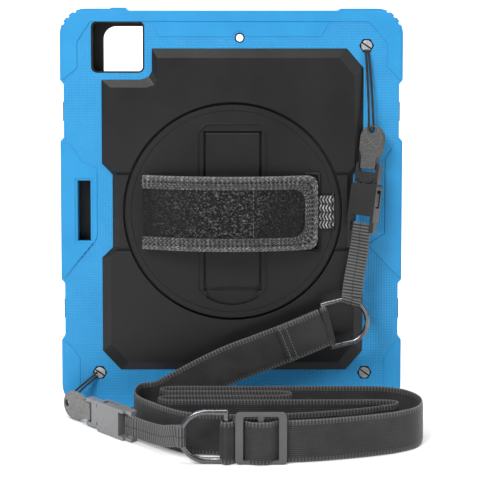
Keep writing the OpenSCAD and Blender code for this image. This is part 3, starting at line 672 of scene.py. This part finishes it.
CLIMB = [
    (66, -17, 66), (52, -17.5, 60), (36, -18, 53.5), (20, -18.5, 47.5), (0, -19, 40),
    (-18, -19.5, 31.5), (-34, -20, 23), (-48, -20, 15.5), (-56, -20.5, 13.7),
]
FOLDS = [
    (-56.6, -20.5), (-63, -24), (-66, -33), (-65.5, -45), (-60.5, -55.5), (-51.5, -66), (-41, -77),
    (-28, -85.5), (-10, -89), (10, -89.8), (45, -86.5), (80, -79), (100, -72), (108, -68.5), (110.5, -65),
    (108, -61.5), (100, -60), (70, -60), (35, -60), (0, -60), (-30, -60), (-43, -59.5),
    (-49, -55), (-44, -50.8), (-32, -50), (0, -50), (28, -50), (38, -48.5), (41, -45),
    (38, -41.5), (28, -40), (0, -40), (-32, -40), (-43, -39.5), (-49, -35), (-44, -30.8),
    (-32, -30), (0, -30), (40, -30), (80, -30), (104, -31), (118, -37), (126, -49),
    (127, -62), (121, -75), (108, -84), (92, -90), (74, -95), (56, -99), (40, -101.3),
    (30, -101.8), (23, -105.6), (14, -105.6), (6, -101.4), (0, -104.3), (-3.5, -105.6),
    (-6.6, -103), (-4, -99.7), (4, -98.6), (20, -98.4),
]
WEB_W, WEB_T = 0.027, 0.0016
WEB_MID_Z = 13.9
UPPER_CORD = [
    (97.4, 2.4, 260.6), (97.9, 1.6, 257), (98.6, 0.9, 250), (99.4, 0.2, 240), (100.1, -0.8, 228),
    (100.6, -2.1, 216), (100.9, -3.2, 208), (101, -3.6, 204.2), (99.4, -3.7, 202.2),
    (97.6, -3.8, 204.4), (97.6, -3.2, 209), (97.6, -2, 217), (97.3, -0.7, 229), (96.8, 0.3, 241),
    (96.2, 1, 251), (95.7, 1.7, 257.4), (95.4, 2.4, 260.6),
]
LOWER_CORD = [
    (-96.8, 2.4, 24.6), (-98.6, 1.2, 23.8), (-102, -1.6, 21.4), (-107, -5.8, 17.6),
    (-111.6, -9.8, 13.4), (-114.2, -12.4, 10.4), (-116.2, -14, 9.3), (-116.6, -13, 11.6),
    (-113.4, -9.6, 15.4), (-108.6, -5.2, 19.2), (-103.4, -1.4, 22.8), (-98.6, 1.6, 26.4),
    (-97, 2.4, 27.6),
]
UPPER_LINK = [
    (91.7, -11.7, 132), (90.4, -12.4, 122), (88.4, -13.4, 110), (86.2, -14.8, 98),
    (84.8, -16.4, 88), (84.4, -17, 84.4),
]
LOWER_LINK = [
    (-64.6, -64.6, 10.5), (-56, -73.4, 10.5), (-49, -81.6, 11.4), (-43.2, -90, 13.2),
    (-37.6, -97.6, 16), (-31.8, -102.6, 17.6),
]
CORD_D = 0.0016
LINK_W = 0.0138
LINK_T = 0.0022
LINK_FOLD_T = 0.0046
LINK_THINNING = 0.0008
RING_FOLD_R = 0.0031
RIB_COLUMNS = 13
TURN_POINTS = 10


# ---- shoulder strap and cords ----


def level_facings(path):
    """Outward directions of a band that stands on its edge along path."""
    along = [heading(path, i) for i in range(len(path))]
    return [Vector((-a.y, a.x, 0)).normalized() for a in along]


def shoulder_strap():
    """One length of webbing, from the upper ring down to the folds on the floor."""
    climb = smooth_route([mm(*p) for p in CLIMB], 8)
    path = climb + smooth_route([mm(x, y, WEB_MID_Z) for x, y in FOLDS], 8)
    facings = [Vector((0, 1, 0))] * len(climb) + level_facings(path)[len(climb):]
    first_fold = facings[len(climb)]
    if first_fold.y < 0:
        facings = facings[:len(climb)] + [-f for f in facings[len(climb):]]
        first_fold = -first_fold
    for k in range(TURN_POINTS):
        i = len(climb) - 1 - k
        facings[i] = facings[i].lerp(first_fold, 0.5 * (1 - k / TURN_POINTS)).normalized()
    strap = ribbon("shoulder_strap", path, facings, WEB_W, WEB_T, [WEBBING], RIB_COLUMNS)
    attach(strap, "case")
    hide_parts("shoulder_strap_climb", "shoulder_strap_floor")
    return strap, path


def link(name, points, facings, node, place):
    """Narrow webbing from a buckle socket to a ring, thick where it is folded round the socket's bar."""
    start = [place @ mm(x, 0, 0) for x in (69.2, 71.5, 74, 76.4)]
    leaving = (start[-1] - start[0]).normalized()
    route = smooth_route([mm(*p) for p in points], 8)
    path = start + [p for p in route if (p - start[-1]).dot(leaving) > 0.0015]
    last = len(path) - 1
    faces = [Vector(facings[0]).lerp(Vector(facings[1]), i / last).normalized() for i in range(len(path))]
    thick = [min(LINK_FOLD_T, max(LINK_T, LINK_FOLD_T - LINK_THINNING * (i - 3))) for i in range(len(path))]
    piece = ribbon(name, path, faces, LINK_W, thick, [LINK], 11)
    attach(piece, "case")
    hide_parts(node)
    return piece


CUFF_SIDES, CUFF_STEPS = 20, 12


def cuff(name, centre, axis, length, radius, mat):
    """Webbing folded round a ring's wire, narrower at its two rims."""
    axis = Vector(axis).normalized()
    x = axis.orthogonal().normalized()
    y = axis.cross(x)
    verts, uvs = [], []
    for s in spread(-0.5, 0.5, CUFF_STEPS):
        rim = 1 - 0.28 * max(0.0, (abs(s) - 0.42) / 0.08) ** 2
        for k in range(CUFF_SIDES):
            a = 2 * math.pi * k / CUFF_SIDES
            verts.append(centre + axis * (s * length) + (x * math.cos(a) + y * math.sin(a)) * (radius * rim))
            uvs.append((s + 0.5, a * radius))
    piece = new_object(name, verts, ring_faces(CUFF_STEPS + 1, CUFF_SIDES), [mat], uvs)
    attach(piece, "case")
    return piece


STRAP, STRAP_PATH = shoulder_strap()
STRAP_EXTRAS = [
    link("upper_link", UPPER_LINK, [(0.61, 0.79, -0.08), (0, 1, 0)], "upper_link_webbing", PLACE_UPPER),
    link("lower_link", LOWER_LINK, [(0.7, 0.7, 0), (0.7, 0.7, 0)], "lower_link_webbing", PLACE_LOWER),
    cuff("strap_ring_fold", mm(67.5, -17, 66.7), (-0.242, 0, 0.970), 0.0268, RING_FOLD_R, WEBBING),
    cuff("upper_link_ring_fold", mm(84.3, -17, 84.3), (-0.961, 0, 0.275), LINK_W, RING_FOLD_R, LINK),
    cuff("lower_link_ring_fold", mm(-31.8, -102.8, 17.6), (0, 0, 1), LINK_W, 0.0030, LINK),
]
for name, points, node, lay in (
    ("upper_cord", UPPER_CORD, "upper_corner_cord", "hanging"),
    ("lower_cord", LOWER_CORD, "lower_corner_cord", "loose"),
):
    path = smooth_route([mm(*p) for p in points], 6)
    piece = tube(name, path, CORD_D, [CORD])
    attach(piece, "case")
    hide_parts(node)

# ---- sleeve relief ----


def plate(name, outlines, face_y, thick, bevel, mat, body="case"):
    """A thin moulded plate in the X-Z plane with rounded edges; later outlines are holes."""
    curve = bpy.data.curves.new(name, "CURVE")
    curve.dimensions = "2D"
    curve.fill_mode = "BOTH"
    curve.extrude = (thick / 2 - bevel) * MM
    curve.bevel_depth = bevel * MM
    curve.bevel_resolution = 3
    curve.offset = -bevel * MM
    for outline in outlines:
        spline = curve.splines.new("POLY")
        spline.points.add(len(outline) - 1)
        for point, (x, z) in zip(spline.points, outline):
            point.co = (x * MM, z * MM, 0, 1)
        spline.use_cyclic_u = True
    shape = bpy.data.objects.new(name + "_outline", curve)
    bpy.context.collection.objects.link(shape)
    bpy.context.view_layer.update()
    mesh = bpy.data.meshes.new_from_object(shape.evaluated_get(bpy.context.evaluated_depsgraph_get()))
    bpy.data.objects.remove(shape)
    mesh.name = name
    mesh.transform(Matrix.Translation((0, face_y * MM, 0)) @ Matrix.Rotation(math.radians(90), 4, "X"))
    mesh.materials.clear()
    mesh.materials.append(mat)
    mesh.shade_smooth()
    mesh.set_sharp_from_angle(angle=math.radians(40))
    obj = bpy.data.objects.new(name, mesh)
    bpy.context.collection.objects.link(obj)
    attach(obj, body)


def arc(cx, cz, r, a0, a1, steps=10):
    """Points in millimetres round cx, cz, from angle a0 to a1 in degrees."""
    return [
        (cx + r * math.cos(math.radians(a0 + (a1 - a0) * i / steps)),
         cz + r * math.sin(math.radians(a0 + (a1 - a0) * i / steps)))
        for i in range(steps + 1)
    ]


SKIN_Y = 3.2
BORDER_T, BAND_T = 1.0, 0.7


def sleeve_relief():
    """Smooth raised borders round the dotted field of the sleeve's back."""
    top = (
        [(-120.9, 239.5), (-120.2, 239.5), (-110.2, 247.4), (-110.2, 266.2), (-100.7, 280.7), (98, 280.7),
         (111.2, 265.9), (111, 248.5), (120.4, 239.5), (121, 239.5)]
        + arc(104, 271.4, 17, 0, 90) + arc(-104, 271.4, 17, 90, 180)
    )
    band = [(-57.4, 280.4), (-51.9, 269.9)] + arc(5.9, 269.1, 5, 172, 10, 12) + [(64, 269.9), (69.8, 280.4)]
    foot = (
        [(-121, 51.3), (-114.4, 44.8), (-109.4, 37.6), (-109.4, 15.9), (-103.6, 10.1), (108.1, 10.1),
         (110.3, 15.9), (110.3, 37.6), (114.6, 44.8), (121, 51.3)]
        + arc(103.5, 19.3, 17.5, 0, -90) + arc(-103.5, 19.3, 17.5, -90, -180)
    )
    left = [(-121.5, 193.6), (-116.6, 193.6), (-112.3, 188.6), (-108, 180.6), (-96.4, 175.6), (-96.4, 125.7),
            (-119.5, 96.8), (-121.5, 96.8)]
    window = [(-112.2, 121.6), (-112.2, 168.4), (-99.6, 168.4), (-99.6, 121.6)]
    right = [(121.5, 193.6), (117.5, 193.6), (110.2, 182.8), (110.2, 128.6), (98, 120.6), (120.3, 96.8),
             (121.5, 96.8)]
    for name, outlines, thick, bevel in (
        ("sleeve_top_border", [top], BORDER_T, 0.35),
        ("sleeve_top_band", [band], BAND_T, 0.3),
        ("sleeve_foot_border", [foot], BORDER_T, 0.35),
        ("sleeve_left_pad", [left, window], BORDER_T, 0.35),
        ("sleeve_right_pad", [right], BORDER_T, 0.35),
    ):
        plate(name, outlines, SKIN_Y, thick, bevel, SILICONE)


sleeve_relief()

DISC_X = 0.8
DISC_FACE_Y = -0.9
LIP_MID_Z = 145.2


def recess_lip():
    """A fine raised lip round the kickstand's recess, open at the finger scoop."""
    left = [(-18.1, 83.1), (-24.1, 89.1), (-24.1, 201.4), (-18.1, 207.4)]
    corners = left + [(-x, z) for x, z in reversed(left)]

    def grown(by):
        return [
            (DISC_X + x + math.copysign(by, x), z + math.copysign(by, z - LIP_MID_Z)) for x, z in corners
        ]

    outlines = [grown(0.9) + grown(0.1)[::-1]]
    plate("turntable_recess_lip", outlines, DISC_FACE_Y - 0.05, 0.7, 0.25, DISC, "turntable")


recess_lip()

# ---- hand strap ----

STRAP_CX, STRAP_HALF, STRAP_RISE, STRAP_TOP = -0.95, 61.9, 11.8, -16.5
ARCH_R = (STRAP_HALF ** 2 + STRAP_RISE ** 2) / (2 * STRAP_RISE)
ARCH_Y = STRAP_TOP + ARCH_R
STRAP_Z0, STRAP_Z1 = 119.2, 171.2
STRAP_MID_Z = (STRAP_Z0 + STRAP_Z1) / 2
STRAP_X0, STRAP_X1 = STRAP_CX - STRAP_HALF, STRAP_CX + STRAP_HALF
STRAP_HALF_Z = (STRAP_Z1 - STRAP_Z0) / 2
TAPE_W = 9.4
TAPE_INNER_R, TAPE_OUTER_R = 8.7, 6.8
LEG_X = (-18.2, 19.8)
SEAM_X = 15.5


def on_arch(x, z, depth):
    """A point at a depth under the strap's outer face, in metres."""
    a = math.asin(max(-1.0, min(1.0, (x - STRAP_CX) / ARCH_R)))
    r = ARCH_R - depth
    return mm(STRAP_CX + r * math.sin(a), ARCH_Y - r * math.cos(a), z)


def in_sections(name, verts, faces, mats, uvs, node):
    """Cuts a strap layer at the kickstand's edges: the middle rides on the leg, the two ends stay unattached.
    """
    spans = {"left": (-1e3, LEG_X[0]), "middle": LEG_X, "right": (LEG_X[1], 1e3)}
    centres = [sum(verts[i].x for i in f) / len(f) / MM for f in faces]
    for part, (lo, hi) in spans.items():
        kept = [f for f, c in zip(faces, centres) if lo <= c < hi]
        if not kept:
            continue
        used = sorted({i for f in kept for i in f})
        index = {old: new for new, old in enumerate(used)}
        piece = new_object(
            f"{name}_{part}", [verts[i] for i in used], [tuple(index[i] for i in f) for f in kept], mats,
            [uvs[i] for i in used],
        )
        piece.data.set_sharp_from_angle(angle=math.radians(70))
        if part == "middle":
            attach(piece, "kickstand")
        elif part == "left":
            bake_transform(piece)
        else:
            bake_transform(piece)
        if node:
            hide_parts(node)


def two_sided(xs, zs, front, back):
    """A closed pad over a grid; front and back give the depth at x, z."""
    verts, uvs, faces = [], [], []
    nx, nz = len(xs), len(zs)
    for depth in (front, back):
        for x in xs:
            for z in zs:
                verts.append(on_arch(x, z, depth(x, z)))
                uvs.append(((z - zs[0]) / (zs[-1] - zs[0]), x * MM))
    half = nx * nz
    for i in range(nx - 1):
        for k in range(nz - 1):
            a = i * nz + k
            faces.append((a, a + nz, a + nz + 1, a + 1))
            faces.append((half + a, half + a + 1, half + a + nz + 1, half + a + nz))
    for i in range(nx - 1):
        for k, flip in ((0, False), (nz - 1, True)):
            a, b = i * nz + k, (i + 1) * nz + k
            quad = (a, half + a, half + b, b)
            faces.append(tuple(reversed(quad)) if flip else quad)
    for k in range(nz - 1):
        for i, flip in ((0, True), (nx - 1, False)):
            a, b = i * nz + k, i * nz + k + 1
            quad = (a, half + a, half + b, b)
            faces.append(tuple(reversed(quad)) if flip else quad)
    return verts, uvs, faces


def columns_for(x0, x1, step):
    """Grid columns from x0 to x1 that hold both edges of the kickstand leg."""
    stops = [x0, LEG_X[0], LEG_X[1], x1]
    xs = []
    for a, b in zip(stops, stops[1:]):
        xs += spread(a, b, max(1, round((b - a) / step)))[:-1]
    return xs + [x1]


def share_of(value, start, span):
    """How far value has gone from start through span, from 0 to 1."""
    return min(1.0, max(0.0, (value - start) / span))


def leather_depth(x, z):
    """The cover's surface: a soft swell, creases, a cross seam and a smooth folded left end."""
    t = min(1.0, abs(z - STRAP_MID_Z) / (STRAP_HALF_Z - TAPE_W + 1.2))
    to_end = share_of(STRAP_X1 - TAPE_W - x, 0, 7)
    swell = 0.95 * (1 - t ** 3.2) * to_end ** 0.6
    p = Vector((x * 0.11, z * 0.17, 2.3))
    crease = bl_noise.ridged_multi_fractal(p, 0.9, 2.1, 4, 1.0, 2.0) - 1.1
    fine = bl_noise.turbulence(Vector((x * 0.42, z * 0.55, 7.1)), 3, False)
    crinkled = share_of(x, STRAP_X0 + 6.2, 5) * (1 - 0.75 * share_of(x, 22, 12))
    lip = 0.35 if x < STRAP_X0 + 5.8 else 0.0
    seam = 0.8 * math.exp(-(((x - SEAM_X) / 0.7) ** 2))
    return -(swell + (0.42 * crease + 0.34 * fine) * crinkled * (1 - t ** 4) + lip - seam)


def strap_cover():
    xs = columns_for(STRAP_X0 + 0.4, STRAP_X1 - TAPE_W + 2, 0.45)
    half = STRAP_HALF_Z - TAPE_W + 2
    zs = spread(STRAP_MID_Z - half, STRAP_MID_Z + half, 84)
    verts, uvs, faces = two_sided(xs, zs, leather_depth, lambda x, z: 1.2)
    in_sections("hand_strap_leather", verts, faces, [LEATHER], uvs, "hand_strap_cover")


def strap_lining():
    xs = columns_for(STRAP_X0 + 0.6, STRAP_X1 - 0.8, 1.4)
    zs = spread(STRAP_Z0 + 0.8, STRAP_Z1 - 0.8, 40)

    def back(x, z):
        t = min(1.0, abs(z - STRAP_MID_Z) / (STRAP_HALF_Z - 3))
        return 3.0 + 0.35 * (1 - t ** 4) * (1 + 0.3 * bl_noise.noise(Vector((x * 0.2, z * 0.2, 0))))

    verts, uvs, faces = two_sided(xs, zs, lambda x, z: 1.0, back)
    in_sections("hand_strap_pad", verts, faces, [FOAM], uvs, "hand_strap_padding")


def tape_route():
    """Inner and outer edge of the binding, side by side, round the strap's right end."""
    turn_in = TAPE_W + TAPE_INNER_R
    xs = columns_for(STRAP_X0, STRAP_X1 - turn_in, 0.5)
    pairs = [((x, STRAP_Z0 + TAPE_W), (x, STRAP_Z0)) for x in xs]
    reach = turn_in - TAPE_OUTER_R
    total = 2 * reach + math.pi / 2 * TAPE_OUTER_R
    corner = []
    for share in spread(0, 1, 56)[1:-1]:
        run, a = share * total, math.radians(-90 + 90 * share)
        inner = (STRAP_X1 - turn_in + TAPE_INNER_R * math.cos(a), turn_in + TAPE_INNER_R * math.sin(a))
        if run < reach:
            outer = (STRAP_X1 - turn_in + run, 0.0)
        elif run > total - reach:
            outer = (STRAP_X1, turn_in - (total - run))
        else:
            b = (run - reach) / TAPE_OUTER_R - math.pi / 2
            outer = (STRAP_X1 + TAPE_OUTER_R * (math.cos(b) - 1), TAPE_OUTER_R * (math.sin(b) + 1))
        corner.append((inner, outer))
    pairs += [((i[0], STRAP_Z0 + i[1]), (o[0], STRAP_Z0 + o[1])) for i, o in corner]
    zs = spread(STRAP_Z0 + turn_in, STRAP_Z1 - turn_in, 32)
    pairs += [((STRAP_X1 - TAPE_W, z), (STRAP_X1, z)) for z in zs]
    pairs += [((i[0], STRAP_Z1 - i[1]), (o[0], STRAP_Z1 - o[1])) for i, o in reversed(corner)]
    pairs += [((x, STRAP_Z1 - TAPE_W), (x, STRAP_Z1)) for x in reversed(xs)]
    return pairs


def between(inner, outer, share):
    return [a + (b - a) * share for a, b in zip(inner, outer)]


TAPE_ROLL = 0.4
TAPE_FOOT = 0.35
ACROSS = 26
ROLLS = 8


def tape_height(q):
    """Outward height of the quilted tape across its width, low at its two stitch channels."""
    if q > CHANNELS[1]:
        t = (q - CHANNELS[1]) / (1 - CHANNELS[1])
        return TAPE_FOOT + math.sin(math.pi * min(1.0, 0.12 + 0.62 * t)) ** 0.7
    start, end, top = (0.0, CHANNELS[0], 0.9) if q <= CHANNELS[0] else (*CHANNELS, 0.95)
    return TAPE_FOOT + top * max(0.0, math.sin(math.pi * (q - start) / (end - start))) ** 0.6


def strap_binding():
    """The tape: quilted on its face, rolled round the strap's edge and laid along its back."""
    pairs = tape_route()
    verts, uvs, faces = [], [], []
    last = tape_height(1.0)
    run = 0.0
    for i, (inner, outer) in enumerate(pairs):
        if i:
            run += math.dist(between(*pairs[i - 1], 0.5), between(inner, outer, 0.5))
        width = math.dist(inner, outer)
        nx, nz = (outer[0] - inner[0]) / width, (outer[1] - inner[1]) / width
        wave_height = 0.10 * math.sin(run * 1.9) + 0.10 * bl_noise.noise(Vector((run * 0.35, 0, 4)))
        for q in spread(0, 1, ACROSS):
            fold = abs((q / CHANNELS[0]) % 1.0 - 0.5)
            knit = 0.22 * math.sin(2 * math.pi * (run / KNIT_PITCH + CHEVRON_LEAN * fold))
            height = tape_height(q) + knit + 0.15 * bl_noise.noise(Vector((run * 0.8, q * 9, 1)))
            if q > CHANNELS[1]:
                height += wave_height
            verts.append(on_arch(*between(inner, outer, q), -height))
            uvs.append((q, run * MM))
        for k in range(1, ROLLS + 1):
            a = math.pi * k / ROLLS
            bulge = TAPE_ROLL * math.sin(a)
            depth = -last + (last + 3.4) * (1 - math.cos(a)) / 2
            verts.append(on_arch(outer[0] + nx * bulge, outer[1] + nz * bulge, depth))
            uvs.append((1 + 0.05 * k, run * MM))
        for inset in (1.5, 3.0):
            verts.append(on_arch(outer[0] - nx * inset, outer[1] - nz * inset, 3.45))
            uvs.append((1.4 + 0.1 * inset, run * MM))
    n = len(verts) // len(pairs)
    for i in range(len(pairs) - 1):
        for k in range(n - 1):
            a = i * n + k
            faces.append((a, a + n, a + n + 1, a + 1))
    in_sections("hand_strap_tape", verts, faces, [BINDING], uvs, "hand_strap_binding")


STITCH_RINGS = ((-0.5, 0.25), (-0.38, 0.85), (0.0, 1.0), (0.38, 0.85), (0.5, 0.25))
STITCH_SIDES = 6


def stitch(verts, faces, centre, along, out, length, radius):
    """One stitch: a small rounded bar of thread."""
    side = along.cross(out).normalized()
    faces += ring_faces(len(STITCH_RINGS), STITCH_SIDES, len(verts))
    for s, r in STITCH_RINGS:
        for k in range(STITCH_SIDES):
            a = 2 * math.pi * k / STITCH_SIDES
            offset = (side * math.cos(a) + out * math.sin(a)) * (radius * r)
            verts.append(centre + along * (s * length) + offset)


def stitch_line(verts, faces, points, outs, length, pitch, radius):
    """Stitches at a pitch along a line of points."""
    run, goal = 0.0, pitch / 2
    for i in range(len(points) - 1):
        span = points[i + 1] - points[i]
        if span.length < 1e-9:
            continue
        while goal <= run + span.length:
            t = (goal - run) / span.length
            stitch(verts, faces, points[i] + span * t, span.normalized(), outs[i], length, radius)
            goal += pitch
        run += span.length


def strap_stitches():
    """Two rows along the binding's channels and one down the cross seam."""
    verts, faces = [], []
    for q in CHANNELS:
        places = [between(inner, outer, q) for inner, outer in tape_route()]
        points = [on_arch(x, z, -0.62) for x, z in places]
        outs = [(p - on_arch(x, z, 3)).normalized() for p, (x, z) in zip(points, places)]
        stitch_line(verts, faces, points, outs, 0.0024, 0.0031, 0.00034)
    half = STRAP_HALF_Z - TAPE_W
    depth = leather_depth(SEAM_X, STRAP_MID_Z) + 0.1
    points = [on_arch(SEAM_X, z, depth) for z in spread(STRAP_MID_Z - half, STRAP_MID_Z + half, 30)]
    outs = [(p - on_arch(SEAM_X, p.z / MM, 3)).normalized() for p in points]
    stitch_line(verts, faces, points, outs, 0.0020, 0.0028, 0.00026)
    in_sections("hand_strap_thread", verts, faces, [THREAD], [(0, 0)] * len(verts), None)


ELASTIC_ROUTE = [
    (61.6, -2.5, 145), (65, -2.6, 145), (69, -2.7, 145), (71.8, -2.2, 145), (72.6, -0.4, 145),
    (72.6, 2.4, 145),
]
ELASTIC_W, ELASTIC_T = 0.024, 0.0022


def elastic_band():
    """The woven elastic from the strap's loop down to its anchor bar."""
    path = smooth_route([mm(*p) for p in ELASTIC_ROUTE], 6)
    band = ribbon("elastic_band", path, level_facings(path), ELASTIC_W, ELASTIC_T, [ELASTIC], 15)
    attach(band, "turntable")
    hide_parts("hand_strap_elastic")


strap_cover()
strap_lining()
strap_binding()
strap_stitches()
elastic_band()
for tail, finish in (("hand_strap_left_tail", LEATHER), ("hand_strap_right_tail", FOAM)):
    refine(tail, finish, 0.0003, 2)

# ---- tabs and sewn ends ----


TAB_FACE = 1.62
TAB_EYE_X = 9.4


def tab_finish(node, place, skin):
    """A leather tab with a sewn rim, two crossing curved rows and two straight ones on each face."""
    refine(node, skin, 0.0005, 3)
    turns = [math.radians(a) for a in range(28, 150, 6)]
    rim = [(TAB_EYE_X + 7.7 * math.cos(a), 7.7 * math.sin(a)) for a in turns]
    lines = [rim, [(x, -z) for x, z in rim]]
    for bend in (-1, 1):
        lines.append([
            (4.6 + 10.4 * s, bend * (5.0 - 10.0 * s + 2.2 * math.sin(math.pi * s))) for s in spread(0, 1, 12)
        ])
    lines += [[(x, z) for z in spread(-5, 5, 8)] for x in (20.5, 22.2)]
    verts, faces = [], []
    for face in (-1, 1):
        out = (place.to_3x3() @ Vector((0, face, 0))).normalized()
        for line in lines:
            points = [place @ mm(x, TAB_FACE * face, z) for x, z in line]
            stitch_line(verts, faces, points, [out] * len(points), 0.0011, 0.0015, 0.00019)
    thread = new_object(node + "_thread", verts, faces, [THREAD])
    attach(thread, "case")


SEWN_LENGTH = 0.033


def sewn_end():
    """The webbing's turned-back end at the upper ring, sewn down with two rows."""
    path = [p + mm(0, -1.75, 0) for p in smooth_route([mm(*p) for p in CLIMB], 8)]
    kept, run = [path[0]], 0.0
    for a, b in zip(path, path[1:]):
        run += (b - a).length
        if run > SEWN_LENGTH:
            break
        kept.append(b)
    facings = [Vector((0, 1, 0))] * len(kept)
    piece = ribbon("strap_sewn_end", kept, facings, WEB_W * 0.985, WEB_T, [WEBBING], RIB_COLUMNS)
    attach(piece, "case")
    verts, faces = [], []
    for i in (len(kept) - 2, len(kept) - 4):
        across = heading(kept, i).cross(Vector((0, 1, 0))).normalized()
        row = [kept[i] + mm(0, -0.95, 0) + across * (WEB_W * s) for s in spread(-0.44, 0.44, 17)]
        stitch_line(verts, faces, row, [Vector((0, -1, 0))] * len(row), 0.0016, 0.0022, 0.00026)
    thread = new_object("strap_sewn_thread", verts, faces, [THREAD])
    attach(thread, "case")


tab_finish("upper_tab", PLACE_UPPER, TAB)
tab_finish("lower_tab", PLACE_LOWER, TAB_PAINTED_LIGHT)
sewn_end()
